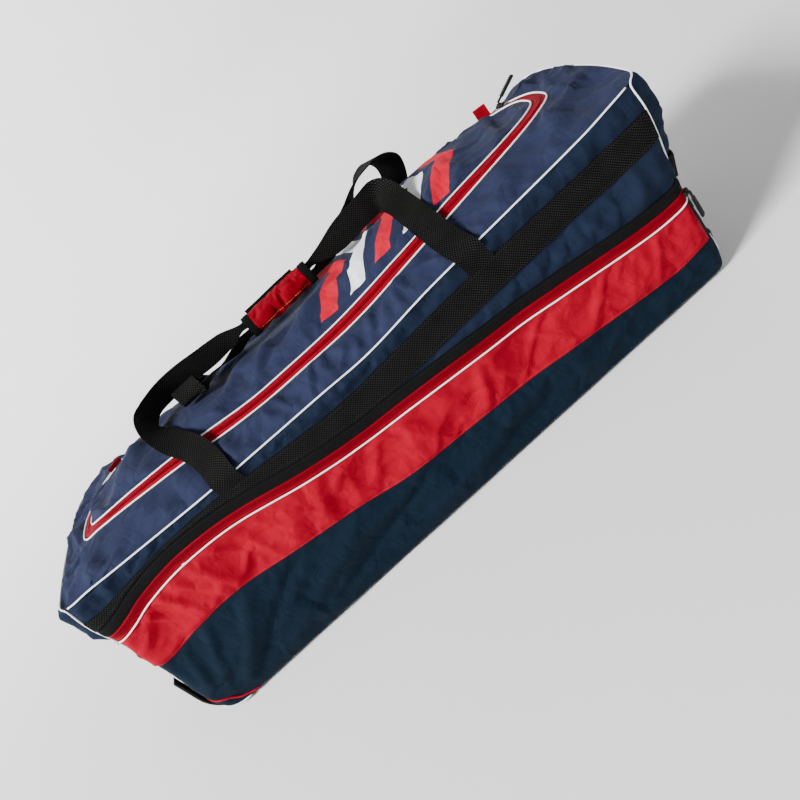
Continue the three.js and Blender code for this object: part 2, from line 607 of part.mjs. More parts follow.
const GUARD_SEAM_STEPS = 7;
for (const [name, flip] of [['front', (d) => d], ['back', (d) => PERIMETER - d]]) {
  const seamFrom = xAt(FRONT_LEFT) + 3 * PIPING_ROOM;
  const seam = evenly(seamFrom, GUARD_MIDDLE, GUARD_SEAM_STEPS).map((x) =>
    onWall(flip(frontDistance(x)), guardSeam(x)));
  piece(`guard_piping_${name}`, piping(seam), WHITE);
  const trim = CORNER_TRIM.map(({ x, rise }) => {
    const place = onWall(flip(frontDistance(x)), rise);
    return { ...place, point: raised(place, TRIM_RADIUS + 2 * GAP) };
  });
  piece(`corner_trim_${name}`, piping(trim, TRIM_SECTION), RED);
}

// Base panel: flat, with the side panels' turned edges round it
const baseEdge = HALF_WIDTH - BASE_TURN - GAP;
const baseEnd = wall(FRONT_RIGHT + HALF_CORNER + STRAIGHT_END / 2, LOWEST).x - GAP;
const baseFrom = GUARD_LIP + GAP;
const BASE_CHAMFER = 16;
const baseOutline = new THREE.Shape([
  new THREE.Vector2(baseFrom, -baseEdge),
  new THREE.Vector2(baseEnd - BASE_CHAMFER, -baseEdge),
  new THREE.Vector2(baseEnd, -baseEdge + BASE_CHAMFER),
  new THREE.Vector2(baseEnd, baseEdge - BASE_CHAMFER),
  new THREE.Vector2(baseEnd - BASE_CHAMFER, baseEdge),
  new THREE.Vector2(baseFrom, baseEdge),
]);
piece('base_panel', new THREE.ExtrudeGeometry(baseOutline, { depth: CLOTH, bevelEnabled: false }), NAVY);

// Top panel, lid and the lid's zip, on the domed top

// The lid zip's ring is followed in the same steps as the outline, from the front's wheel end corner.
const SIDE_COUNT = SIDE_STEPS + 2 * CORNER_STEPS;
const END_COUNT = END_STEPS + 2 * CORNER_STEPS;
const ringSquare = [
  ...evenly(-1, 1, SIDE_COUNT).slice(1).map((u) => [u, -1]),
  ...evenly(-1, 1, END_COUNT).slice(1).map((v) => [1, v]),
  ...evenly(1, -1, SIDE_COUNT).slice(1).map((u) => [u, 1]),
  ...evenly(1, -1, END_COUNT).slice(1).map((v) => [-1, v]),
];
const ringOutline = [
  ...frontRun(0, 0).slice(1),
  ...pullRun(0).slice(1),
  ...backOf(frontRun(0, 0)).reverse().slice(1),
  ...wheelRun(0).slice(1),
];

// A place in the lid's plan from a place in a square, with its edge set out or in from the ring
function ringPlan(u, v, out) {
  const dx = u * Math.sqrt(1 - (v * v) / 2);
  const dy = v * Math.sqrt(1 - (u * u) / 2);
  const reach = Math.hypot(dx, dy) || 1;
  const power = Math.abs(dx / reach) ** RING_POWER + Math.abs(dy / reach) ** RING_POWER;
  const norm = power ** (1 / RING_POWER) || 1;
  return new THREE.Vector2(RING_X + ((RING_LENGTH + out) * dx) / norm, ((RING_WIDTH + out) * dy) / norm);
}

const RING_PIPING = RING_TAPE + PIPING_HALF + GAP;
const RING_PANEL = RING_PIPING + PIPING_HALF + GAP;

// How far the lid stands over the dome, from its edge to its middle
function lidLift(x, y) {
  const reach = Math.abs((x - RING_X) / (RING_LENGTH - RING_PANEL)) ** RING_POWER;
  const across = Math.abs(y / (RING_WIDTH - RING_PANEL)) ** RING_POWER;
  return LID_RISE * Math.max(0, 1 - (reach + across) ** (2 / RING_POWER));
}

const lidShape = new THREE.BoxGeometry(2, 2, 1, SIDE_COUNT, END_COUNT, 1);
const lidPanel = bend(lidShape, (at) => {
  const plan = ringPlan(at.x, at.y, -RING_PANEL);
  return raised(onTop(plan.x, plan.y, lidLift), at.z < 0 ? -CLOTH : 0);
});
piece('lid_panel', lidPanel, NAVY);

const TOP_BANDS = 2;
const topStations = ringSquare.map(([u, v], i) => {
  const place = onWall(ringOutline[i], edgeRise(ringOutline[i]));
  const inset = new THREE.Vector2(place.out.x, place.out.y).normalize().multiplyScalar(PIPING_ROOM);
  const outer = new THREE.Vector2(place.point.x, place.point.y).sub(inset);
  return { inner: ringPlan(u, v, RING_PANEL), outer };
});
const topPanel = loop(topStations, 2 * TOP_BANDS + 2, ({ inner, outer }, k) => {
  const over = k <= TOP_BANDS;
  const band = over ? k : 2 * TOP_BANDS + 1 - k;
  const plan = inner.clone().lerp(outer, band / TOP_BANDS);
  return raised(onTop(plan.x, plan.y), over ? 0 : -CLOTH);
});
piece('top_panel', topPanel, NAVY);

const ringProfile = [
  [-RING_TAPE, -TAPE_THICK],
  [RING_TAPE, -TAPE_THICK],
  [RING_TAPE, 0],
  [COIL_HALF, COIL_HEIGHT],
  [-COIL_HALF, COIL_HEIGHT],
  [-RING_TAPE, 0],
];
const onRing = ([u, v], [across, out]) => {
  const plan = ringPlan(u, v, across);
  return raised(onTop(plan.x, plan.y), out);
};
piece('lid_zip', loop(ringSquare, ringProfile.length, (at, k) => onRing(at, ringProfile[k])), RED);
for (const [name, offset] of [['outer', RING_PIPING], ['inner', -RING_PIPING]]) {
  const ring = loop(ringSquare, PIPING_SIDES, (at, k) => {
    const corner = pipingCorner(k, PIPING_SIDES);
    return onRing(at, [offset + corner.x, corner.y]);
  });
  piece(`lid_piping_${name}`, ring, WHITE);
}

// Webbing handles, their grip and the pull end's grab loop

// A strap along a table of its middles, with each row's own way across and width
function strap(table, steps) {
  const curve = new THREE.CatmullRomCurve3(table.map((row) => new THREE.Vector3(row.x, row.y, row.z)));
  const lies = new THREE.CatmullRomCurve3(table.map((row) => new THREE.Vector3(row.ax, row.ay, row.az)));
  const widths = table.map((row, i) => ({ at: i / (table.length - 1), width: row.width }));
  const places = evenly(0, 1, steps).map((t) => {
    const way = curve.getTangent(t);
    const across = lies.getPoint(t);
    across.addScaledVector(way, -across.dot(way)).normalize();
    const out = new THREE.Vector3().crossVectors(across, way).normalize();
    return { point: curve.getPoint(t), across, out, scale: column(widths, 'at', 'width', t) };
  });
  const half = WEBBING_THICK / 2;
  const profile = [[-0.5, -half], [0.5, -half], [0.5, half], [-0.5, half]];
  return sweep(profile.map(([x, y]) => new THREE.Vector2(x, y)), places, true);
}

piece('handle_front', strap(FRONT_HANDLE, HANDLE_STEPS), BLACK);
piece('handle_back', strap(BACK_HANDLE, HANDLE_STEPS), BLACK);

// A box with rounded long edges round both straps, hollow all along
function sleeve(from, to, grow) {
  const rounded = (height, depth, radius, path) => {
    const halfH = height / 2 - radius;
    const halfD = depth / 2 - radius;
    path.absarc(halfD, halfH, radius, 0, Math.PI / 2);
    path.absarc(-halfD, halfH, radius, Math.PI / 2, Math.PI);
    path.absarc(-halfD, -halfH, radius, Math.PI, 1.5 * Math.PI);
    path.absarc(halfD, -halfH, radius, 1.5 * Math.PI, 2 * Math.PI);
    path.closePath();
    return path;
  };
  const outer = rounded(GRIP_HEIGHT + grow, GRIP_DEPTH + grow, GRIP_ROUND, new THREE.Shape());
  const hollow = [GRIP_HEIGHT - 2 * GRIP_WALL, GRIP_DEPTH - 2 * GRIP_WALL];
  outer.holes.push(rounded(...hollow, GRIP_ROUND - GRIP_WALL, new THREE.Path()));
  const shape = new THREE.ExtrudeGeometry(outer, { depth: 1, curveSegments: 2, bevelEnabled: false });
  return bend(shape, (at) => new THREE.Vector3(from + (to - from) * at.z, GRIP_Y + at.x, GRIP_Z + at.y));
}

piece('grip_wrap', sleeve(GRIP_FROM, GRIP_TO, 0), RED);
piece('grip_band_left', sleeve(GRIP_FROM - GRIP_BAND, GRIP_FROM - GAP, 1), BLACK);
piece('grip_band_right', sleeve(GRIP_TO + GAP, GRIP_TO + GRIP_BAND, 1), BLACK);

// The wrap's closing flap, standing up behind it
const FLAP_LENGTH = 88;
const FLAP_HEIGHT = 33;
const flap = new THREE.BoxGeometry(FLAP_LENGTH, WEBBING_THICK, FLAP_HEIGHT);
const flapY = GRIP_Y + GRIP_DEPTH / 2 + GAP + WEBBING_THICK / 2;
piece('grip_flap', flap, BLACK).position.set(GRIP_FROM + FLAP_LENGTH / 2, flapY, GRIP_Z + 2);

// Grab loop across the pull end, over the zip's binding
const LOOP_HALF = 144;
const LOOP_OUT = 26;
const LOOP_LIFT = 1.6; // clear of the binding
const LOOP_WIDTH = 30;
const LOOP_STEPS = 14;
const LOOP_ABOVE = 4; // its middle over the binding's upper edge
const loopMiddle = FRONT_RIGHT + HALF_CORNER + STRAIGHT_END / 2;
const loopPlaces = evenly(-1, 1, LOOP_STEPS).map((t) => {
  const place = onWall(loopMiddle + t * LOOP_HALF, bindingTop(loopMiddle) + LOOP_ABOVE);
  const bow = Math.sqrt(1 - t ** 4) * LOOP_OUT;
  const point = raised(place, LOOP_LIFT + WEBBING_THICK / 2 + bow);
  return { ...place, point, across: place.up, scale: LOOP_WIDTH };
});
const half = WEBBING_THICK / 2;
const loopProfile = [[-0.5, -half], [0.5, -half], [0.5, half], [-0.5, half]];
piece('grab_loop', sweep(loopProfile.map(([x, y]) => new THREE.Vector2(x, y)), loopPlaces), BLACK);

// Zip sliders with their pullers and cloth tabs

// Turns a piece so that its x, y and z lie along three ways at a point
function stand(mesh, point, x, y, z) {
  mesh.position.copy(point);
  mesh.quaternion.setFromRotationMatrix(new THREE.Matrix4().makeBasis(x, y, z));
}

// A slider: a wedge-shaped body, narrower at its back
const SLIDER_HEIGHT = 4.5;
const SLIDER_CORNERS = [[-6, -3.5], [3, -5], [6, -3.5], [6, 3.5], [3, 5], [-6, 3.5]];
function slider(name) {
  const shape = new THREE.Shape(SLIDER_CORNERS.map(([x, y]) => new THREE.Vector2(x, y)));
  const body = new THREE.ExtrudeGeometry(shape, { depth: SLIDER_HEIGHT, bevelEnabled: false });
  return piece(name, body, MOULDED);
}

// A moulded puller: a flat bar that widens to a rounded grip, hanging along its own -y
const PULLER_LENGTH = 42;
const PULLER_THICK = 4;
const PULLER_HALF = 4.2; // half width of the grip
const STEM_HALF = 2.4; // half width of the bar
const STEM_LENGTH = 8;
const SHOULDER = 13; // where the grip is at its full width
function puller(name) {
  const roundAt = PULLER_HALF - PULLER_LENGTH;
  const shape = new THREE.Shape();
  shape.moveTo(-STEM_HALF, 0);
  shape.lineTo(-STEM_HALF, -STEM_LENGTH);
  shape.lineTo(-PULLER_HALF, -SHOULDER);
  shape.lineTo(-PULLER_HALF, roundAt);
  shape.absarc(0, roundAt, PULLER_HALF, Math.PI, 2 * Math.PI);
  shape.lineTo(PULLER_HALF, -SHOULDER);
  shape.lineTo(STEM_HALF, -STEM_LENGTH);
  shape.lineTo(STEM_HALF, 0);
  const extrusion = { depth: PULLER_THICK, curveSegments: 4, bevelEnabled: false };
  const body = new THREE.ExtrudeGeometry(shape, extrusion);
  return piece(name, body, MOULDED);
}

const SLIDER_LIFT = COIL_HEIGHT + 2 * GAP;
const PULLER_LIFT = SLIDER_LIFT + SLIDER_HEIGHT + GAP;
const UP = new THREE.Vector3(0, 0, 1);

// Both side sliders are parked at the pull end's front corner, and their pullers hang down
for (const [name, past] of [['front', -12], ['end', 8]]) {
  const distance = FRONT_RIGHT + past;
  const place = onWall(distance, zipRise(distance));
  stand(slider(`side_slider_${name}`), raised(place, SLIDER_LIFT), place.along, place.up, place.out);
  const level = new THREE.Vector3(place.out.x, place.out.y, 0).normalize();
  const across = new THREE.Vector3().crossVectors(UP, level);
  stand(puller(`side_puller_${name}`), raised(place, PULLER_LIFT), across, UP, level);
}

// Cloth tabs: a folded red ribbon, sewn in along one edge and standing or hanging from it
function tab(name, point, edge, way, size) {
  const body = new THREE.BoxGeometry(size.wide, size.long, WEBBING_THICK);
  body.translate(0, size.long / 2, 0);
  const face = new THREE.Vector3().crossVectors(edge, way);
  stand(piece(name, body, RED), point, edge, way, face);
}

// The side zip's tab hangs behind the pullers, from the zip's lower edge
const sideTabAt = FRONT_RIGHT + 30;
const sideTabPlace = onWall(sideTabAt, tapeLow(sideTabAt));
const sideTabEdge = new THREE.Vector3().crossVectors(UP, sideTabPlace.out).normalize();
const sideTabPoint = raised(sideTabPlace, WEBBING_THICK / 2 + GAP);
tab('side_zip_tab', sideTabPoint, sideTabEdge, UP.clone().negate(), { wide: 18, long: 34 });

// The lid zip's tabs stand at the ring's far side, near both its ends, and a slider waits by one of them
function ringAt(x) {
  const height = (at) => {
    const reach = Math.abs((at - RING_X) / RING_LENGTH) ** RING_POWER;
    return onTop(at, RING_WIDTH * (1 - reach) ** (1 / RING_POWER));
  };
  const place = height(x);
  place.along = height(x + 1).point.sub(place.point).normalize();
  place.across = new THREE.Vector3().crossVectors(place.out, place.along).normalize();
  return place;
}

const lidTabs = [
  { name: 'lid_tab_pull', x: 378, lift: 1.9, lean: 10, size: { wide: 20, long: 18 } },
  { name: 'lid_tab_wheel', x: -374, lift: 0.9, lean: 25, size: { wide: 24, long: 8 } },
];
for (const { name, x, lift, lean, size } of lidTabs) {
  const place = ringAt(x);
  const tilt = THREE.MathUtils.degToRad(lean);
  const way = place.out.clone().multiplyScalar(Math.cos(tilt)).addScaledVector(place.across, -Math.sin(tilt));
  tab(name, raised(place, lift), place.along, way, size);
}

const LID_SLIDER_X = 402;
const LID_PULLER_RISE = 22; // degrees that the puller stands up from the lid
const lidSliderAt = ringAt(LID_SLIDER_X);
const { out: lidOut, along: lidAlong, across: lidAcross } = lidSliderAt;
stand(slider('lid_slider'), raised(lidSliderAt, SLIDER_LIFT), lidAlong, lidAcross, lidOut);
const pullerTilt = THREE.MathUtils.degToRad(LID_PULLER_RISE);
const lidPullWay = new THREE.Vector3(-Math.cos(pullerTilt), 0, -Math.sin(pullerTilt));
const lidPullFace = new THREE.Vector3(-Math.sin(pullerTilt), 0, Math.cos(pullerTilt));
const lidPullAcross = new THREE.Vector3().crossVectors(lidPullWay, lidPullFace);
const lidPullPoint = raised(lidSliderAt, PULLER_LIFT + 2 * GAP);
stand(puller('lid_puller'), lidPullPoint, lidPullAcross, lidPullWay, lidPullFace);

// Wheels, axles and the moulded guard that carries them

// A closed mesh as a solid for joining and cutting
function solidOf(geometry) {
  const plain = geometry.clone();
  plain.deleteAttribute('normal');
  plain.deleteAttribute('uv');
  const merged = mergeVertices(plain, 1e-4);
  const vertProperties = new Float32Array(merged.attributes.position.array);
  const triVerts = new Uint32Array(merged.index.array);
  return new wasm.Manifold(new wasm.Mesh({ numProp: 3, vertProperties, triVerts }));
}

function geometryOf(solid) {
  const { vertProperties, triVerts } = solid.getMesh();
  const geometry = new THREE.BufferGeometry();
  geometry.setAttribute('position', new THREE.BufferAttribute(vertProperties, 3));
  geometry.setIndex(new THREE.BufferAttribute(triVerts, 1));
  geometry.computeVertexNormals();
  return geometry;
}

// A shape in the X and Z plane, carried across the bag
function acrossBag(shape, halfWidth) {
  const carried = { depth: 2 * halfWidth, curveSegments: 7, bevelEnabled: false };
  const geometry = new THREE.ExtrudeGeometry(shape, carried);
  return geometry.rotateX(Math.PI / 2).translate(0, halfWidth, 0);
}

function block(low, high) {
  const size = high.map((value, i) => value - low[i]);
  const middle = high.map((value, i) => (value + low[i]) / 2);
  return solidOf(new THREE.BoxGeometry(...size).translate(...middle));
}

function wheelGuard() {
  const sheet = new THREE.Shape();
  sheet.moveTo(GUARD_X, GUARD_TOP);
  sheet.absarc(GUARD_MIDDLE, GUARD_TURN, GUARD_TURN, Math.PI, 1.5 * Math.PI);
  sheet.absarc(GUARD_MIDDLE, GUARD_TURN, GUARD_TURN - GUARD_THICK, 1.5 * Math.PI, Math.PI, true);
  sheet.lineTo(GUARD_X + GUARD_THICK, GUARD_TOP);
  sheet.closePath();
  const inside = new THREE.Shape();
  inside.moveTo(GUARD_X, WELL_TOP);
  inside.absarc(GUARD_MIDDLE, GUARD_TURN, GUARD_TURN, Math.PI, 1.5 * Math.PI);
  inside.lineTo(GUARD_LIP, 0);
  inside.lineTo(GUARD_LIP, WELL_TOP);
  inside.closePath();

  let guard = solidOf(acrossBag(sheet, GUARD_HALF));
  guard = guard.add(block([GUARD_MIDDLE - 4, -baseEdge, 0], [GUARD_LIP, baseEdge, GUARD_THICK]));
  const insideSolid = solidOf(acrossBag(inside, GUARD_HALF));
  const slot = WHEEL_WIDTH / 2 + WELL_SIDE;
  for (const y of [-WHEEL_Y, WHEEL_Y]) {
    const reach = slot + WELL_WALL;
    const well = block([GUARD_X - 1, y - reach, -1], [GUARD_LIP, y + reach, WELL_TOP]).intersect(insideSolid);
    guard = guard.add(well);
  }
  for (const y of [-WHEEL_Y, WHEEL_Y]) {
    const low = [GUARD_X - 10, y - slot, -10];
    guard = guard.subtract(block(low, [GUARD_LIP - WELL_WALL, y + slot, WELL_TOP - WELL_WALL]));
    const hole = new THREE.CylinderGeometry(AXLE_RADIUS + GAP, AXLE_RADIUS + GAP, 4 * slot, 12);
    guard = guard.subtract(solidOf(hole.translate(WHEEL_X, y, WHEEL_Z)));
  }
  return geometryOf(guard);
}

piece('wheel_guard', wheelGuard(), MOULDED);

// A wheel in section: hub, web and a crowned tyre
const HUB_RADIUS = 12;
const WEB_RADIUS = 25;
const WEB_HALF = 7;
const TYRE_HALF = 10;
const TREAD_HALF = 6;
const TREAD_DROP = 3; // how far the tyre's shoulders lie under its tread
const wheelProfile = [
  [AXLE_RADIUS + GAP, -WHEEL_WIDTH / 2],
  [HUB_RADIUS, -WHEEL_WIDTH / 2],
  [WEB_RADIUS, -WEB_HALF],
  [WHEEL_RADIUS - TREAD_DROP, -TYRE_HALF],
  [WHEEL_RADIUS, -TREAD_HALF],
  [WHEEL_RADIUS, TREAD_HALF],
  [WHEEL_RADIUS - TREAD_DROP, TYRE_HALF],
  [WEB_RADIUS, WEB_HALF],
  [HUB_RADIUS, WHEEL_WIDTH / 2],
  [AXLE_RADIUS + GAP, WHEEL_WIDTH / 2],
  [AXLE_RADIUS + GAP, -WHEEL_WIDTH / 2],
].map(([radius, y]) => new THREE.Vector2(radius, y));
const WHEEL_SIDES = 12;
const axleLength = WHEEL_WIDTH + 2 * (WELL_SIDE + WELL_WALL);
for (const [name, y] of [['front', -WHEEL_Y], ['back', WHEEL_Y]]) {
  const wheel = bend(new THREE.LatheGeometry(wheelProfile, WHEEL_SIDES), (at) => at);
  piece(`wheel_${name}`, wheel, RUBBER).position.set(WHEEL_X, y, WHEEL_Z);
  const axle = new THREE.CylinderGeometry(AXLE_RADIUS, AXLE_RADIUS, axleLength, 12);
  piece(`axle_${name}`, axle, STEEL).position.set(WHEEL_X, y, WHEEL_Z);
}

export default bag;
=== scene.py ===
import math

import bmesh
import bpy
import numpy as np
from mathutils import Matrix, Vector, noise


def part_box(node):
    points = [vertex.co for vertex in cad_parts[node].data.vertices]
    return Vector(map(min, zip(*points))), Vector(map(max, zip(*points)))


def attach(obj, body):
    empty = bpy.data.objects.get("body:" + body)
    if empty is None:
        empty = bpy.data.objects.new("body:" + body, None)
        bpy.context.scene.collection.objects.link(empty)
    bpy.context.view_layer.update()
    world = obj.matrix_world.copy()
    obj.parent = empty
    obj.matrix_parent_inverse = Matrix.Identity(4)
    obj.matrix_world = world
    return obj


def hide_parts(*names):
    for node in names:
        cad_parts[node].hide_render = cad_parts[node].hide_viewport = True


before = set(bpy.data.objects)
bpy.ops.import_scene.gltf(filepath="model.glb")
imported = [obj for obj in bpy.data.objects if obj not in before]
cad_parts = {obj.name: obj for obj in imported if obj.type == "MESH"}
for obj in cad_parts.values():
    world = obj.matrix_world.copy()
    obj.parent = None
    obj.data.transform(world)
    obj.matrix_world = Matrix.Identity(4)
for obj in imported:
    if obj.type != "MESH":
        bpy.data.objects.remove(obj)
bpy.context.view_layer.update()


# Base panel: the flat floor of the bag, out of sight when it lies down. Coated navy polyester over a
# stiff board, sewn all round to the turned-under edges of the side and end panels.
MM = 0.001
CLOTH_WALL = 1.2
BASE_CHAMFER = 16
BASE_CELLS = (44, 14)
BASE_LIFT = 0.2  # over the lowest face of the base
MERGE = 1e-6  # metres between points that are one
THREAD = 0.9
THREAD_DEPTH = 0.22
# scale for each metre, distortion and depth of the creases in a cloth's finish
CREASES = [(17.0, 0.6, 2.2), (44.0, 0.8, 0.7)]
CREASE_STRENGTH = 0.8


def add_node(tree, kind, inputs=None, **settings):
    """Adds a shader node; an input is a value or another node's socket."""
    made = tree.nodes.new(kind)
    for name, value in settings.items():
        setattr(made, name, value)
    for name, value in (inputs or {}).items():
        if isinstance(value, bpy.types.NodeSocket):
            tree.links.new(value, made.inputs[name])
        else:
            made.inputs[name].default_value = value
    return made


def maths(tree, operation, first, second=0.0):
    made = add_node(tree, "ShaderNodeMath", {0: first, 1: second}, operation=operation)
    return made.outputs[0]


def averaged(tree, first, second):
    return maths(tree, "ADD", maths(tree, "MULTIPLY", first, 0.5), maths(tree, "MULTIPLY", second, 0.5))


def blended(tree, share, first, second):
    """Colour between two, each red, green and blue or a socket."""
    first, second = (part if isinstance(part, bpy.types.NodeSocket) else (*part, 1)
                     for part in (first, second))
    inputs = {"Factor": share, 6: first, 7: second}
    made = add_node(tree, "ShaderNodeMix", inputs, data_type="RGBA")
    return made.outputs[2]


def threads(tree, place, pitch, direction):
    """Rounded ridges a pitch apart, in metres, across one direction of the laid cloth."""
    inputs = {"Vector": place, "Scale": math.pi / (10 * pitch)}
    wave = add_node(tree, "ShaderNodeTexWave", inputs, bands_direction=direction)
    return wave.outputs["Fac"]


def speckle(tree, place, scale, detail=3.0, distortion=0.0):
    inputs = {"Vector": place, "Scale": scale, "Detail": detail, "Distortion": distortion}
    return add_node(tree, "ShaderNodeTexNoise", inputs).outputs["Fac"]


def eased(tree, value, low, high, to_low=0.0, to_high=1.0):
    inputs = {"Value": value, "From Min": low, "From Max": high, "To Min": to_low, "To Max": to_high}
    return add_node(tree, "ShaderNodeMapRange", inputs).outputs["Result"]


def bumped(tree, height, depth, strength=1.0, over=None):
    inputs = {"Height": height, "Distance": depth, "Strength": strength}
    if over is not None:
        inputs["Normal"] = over
    return add_node(tree, "ShaderNodeBump", inputs).outputs["Normal"]


def coordinates(tree, kind):
    """Where a pattern lies: UV on a piece's own cloth, or Object in the bag's frame."""
    return add_node(tree, "ShaderNodeTexCoord").outputs[kind]


def new_material(name, **sockets):
    """A material with its constant finish on the shader's own sockets."""
    material = bpy.data.materials.new(name)
    material.use_nodes = True
    shader = material.node_tree.nodes["Principled BSDF"]
    for socket, value in sockets.items():
        shader.inputs[socket.replace("_", " ").title().replace("Ior", "IOR")].default_value = value
    return material, material.node_tree, shader


def dress(tree, shader, colour, normal=None, roughness=None):
    """Links what a material works out to its shader."""
    for socket, value in (("Base Color", colour), ("Normal", normal), ("Roughness", roughness)):
        if value is not None:
            tree.links.new(value, shader.inputs[socket])


def ridged(tree, place, scale, distortion):
    """Thin sharp lines where smooth noise crosses its middle, from 0 on a line to 1 away from it."""
    lumps = speckle(tree, place, scale, 1.5, distortion)
    return eased(tree, maths(tree, "ABSOLUTE", maths(tree, "SUBTRACT", lumps, 0.5)), 0.0, 0.22)


def woven_cloth(name, colour, deep, roughness, sheen=0.01, thread=THREAD):
    """Plain-woven polyester: crossing threads, crumples with creases in them, and a little sheen."""
    material, tree, shader = new_material(
        name, sheen_weight=sheen, sheen_roughness=0.5, specular_ior_level=0.02)
    place = coordinates(tree, "UV")
    warp = threads(tree, place, thread * MM, "X")
    weft = threads(tree, place, thread * MM, "Y")
    weave = maths(tree, "MULTIPLY", warp, weft)
    mottle = speckle(tree, place, 40.0, 4.0, 0.5)
    shade = blended(tree, eased(tree, averaged(tree, weave, mottle), 0.15, 0.8), deep, colour)
    worn = eased(tree, mottle, 0.3, 0.7, roughness - 0.06, roughness + 0.06)
    relief = None
    for scale, distortion, depth in CREASES:
        lines = ridged(tree, place, scale, distortion)
        relief = bumped(tree, lines, depth * MM, CREASE_STRENGTH, relief)
    dress(tree, shader, shade, bumped(tree, weave, THREAD_DEPTH * MM, 1.0, relief), worn)
    return material


def lay_cloth(bm, places):
    """Writes each corner's place on the flat cloth, in metres, as the piece's UV map."""
    layer = bm.loops.layers.uv.new("cloth")
    bm.verts.index_update()
    for face in bm.faces:
        for loop in face.loops:
            loop[layer].uv = places[loop.vert.index]


def new_object(bm, name, material):
    """A smooth object made from a bmesh, with crisp open edges."""
    for edge in bm.edges:
        edge.smooth = not edge.is_boundary
    mesh = bpy.data.meshes.new(name)
    bm.to_mesh(mesh)
    bm.free()
    mesh.polygons.foreach_set("use_smooth", [True] * len(mesh.polygons))
    mesh.materials.append(material)
    made = bpy.data.objects.new(name, mesh)
    bpy.context.collection.objects.link(made)
    return made


def make_piece(bm, name, material, nodes=(), body="bag", thickness=0.0, offset=-1.0):
    """Turns a bmesh into a piece that rides on a body and stands for CAD nodes."""
    piece = new_object(bm, name, material)
    if thickness:
        solid = piece.modifiers.new("cloth", "SOLIDIFY")
        solid.thickness = thickness * MM
        solid.offset = offset
    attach(piece, body)
    if nodes:
        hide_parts(*nodes)
    return piece


coated_navy = woven_cloth("navy_base_cloth", (0.0130, 0.0210, 0.0380), (0.0085, 0.0150, 0.0290), 0.6)
low, high = (Vector(corner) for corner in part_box("base_panel"))
bm = bmesh.new()
bmesh.ops.create_grid(bm, x_segments=BASE_CELLS[0], y_segments=BASE_CELLS[1], size=0.5)
bmesh.ops.scale(bm, vec=(high.x - low.x, low.y - high.y, 1), verts=bm.verts)
bmesh.ops.translate(bm, vec=((low.x + high.x) / 2, 0, low.z + BASE_LIFT * MM), verts=bm.verts)
corners = [v for v in bm.verts if v.co.x > high.x - MM and abs(v.co.y) > high.y - MM]
bmesh.ops.bevel(bm, geom=corners, offset=BASE_CHAMFER * MM, affect="VERTICES", segments=1,
                profile=0.5, material=-1)
lay_cloth(bm, [vert.co.xy for vert in bm.verts])
make_piece(bm, "base_cloth", coated_navy, ["base_panel"], thickness=CLOTH_WALL)


# Lower side panels: navy polyester from under the base up to the red band, front and back. Each is
# sewn along all its edges and hangs slack between them in long shallow folds.
LENGTH = 960
WIDTH = 315
CORNER = 26
BASE_TURN = 9
SIDE_BULGE = 12
BULGE_LOW = 0.52
END_BULGE = 8
END_FULL = 110
DOME_POWER = 2.2
LID_RISE = 8
GAP = 0.3
PIPING_HALF = 2.1 * math.sqrt(0.5)
PIPING_ROOM = PIPING_HALF + 2 * GAP
SEAM_ROOM = 1.0  # from a piped seam's line to the edge of the cloth
STRAIGHT_SIDE = LENGTH - 2 * CORNER
STRAIGHT_END = WIDTH - 2 * CORNER
HALF_CORNER = CORNER * math.pi / 4
PERIMETER = 2 * STRAIGHT_SIDE + 2 * STRAIGHT_END + 8 * HALF_CORNER
LOWEST = BASE_TURN * (1 - math.pi / 2)
FRONT_LEFT = STRAIGHT_END / 2 + HALF_CORNER
FRONT_RIGHT = FRONT_LEFT + STRAIGHT_SIDE + 2 * HALF_CORNER
BACK_RIGHT = PERIMETER - FRONT_RIGHT
GUARD_X = -486
GUARD_TURN = 55
GUARD_THICK = 4
GUARD_MIDDLE = GUARD_X + GUARD_TURN
GUARD_SEAM = GUARD_TURN - GUARD_THICK - PIPING_ROOM
WALL_STEP = 0.4  # over which the wall's slopes are taken
DENT_EASE = 4  # how fast dents grow from the top's edge

# x, then heights of the top's edge, the lid's crown, the strap, the side zip and the red band's seam
SECTIONS = np.array([
    (-480, 292, 303, 263, 218, 143), (-440, 293, 311, 261, 224, 141),
    (-400, 290, 324, 264, 234, 147), (-330, 285, 335, 268, 241, 151),
    (-240, 279, 338, 266, 232, 138), (-140, 275, 328, 255, 208, 121),
    (-50, 272, 323, 246, 191, 102), (30, 269, 324, 247, 184, 94),
    (140, 277, 331, 251, 172, 86), (270, 281, 338, 253, 155, 71),
    (400, 286, 327, 254, 135, 54), (450, 291, 317, 255, 133, 57),
    (480, 294, 311, 256, 138, 60),
], float)
SECTION_NAMES = ["x", "edge", "crown", "strap", "zip", "seam"]
# height and how far the end stands out there
WHEEL_END = np.array([
    (0, -6), (110, -5), (157, -3), (212, 1), (247, 11), (277, 11), (297, 5)], float)
PULL_END = np.array([
    (0, -13), (32, -7), (52, -10), (73, -15), (103, -18), (138, -15), (162, -9), (190, 1),
    (222, 13), (258, 21), (297, 16)], float)
# x and height or y of the middle, half length, half width, slant in degrees and depth
SIDE_DENTS = [
    (-410, 182, 70, 38, 55, 6), (-270, 192, 60, 40, 70, 5), (-60, 157, 90, 45, 35, 5),
    (190, 122, 80, 42, 60, 5), (330, 212, 70, 30, 20, 4), (20, 67, 130, 34, 15, 4)]
TOP_DENTS = [
    (-130, -60, 60, 34, 125, 2), (60, -140, 70, 26, 10, 4), (150, 70, 80, 45, 60, 3),
    (-300, 60, 70, 45, 100, 3), (330, -30, 80, 34, 40, 2)]


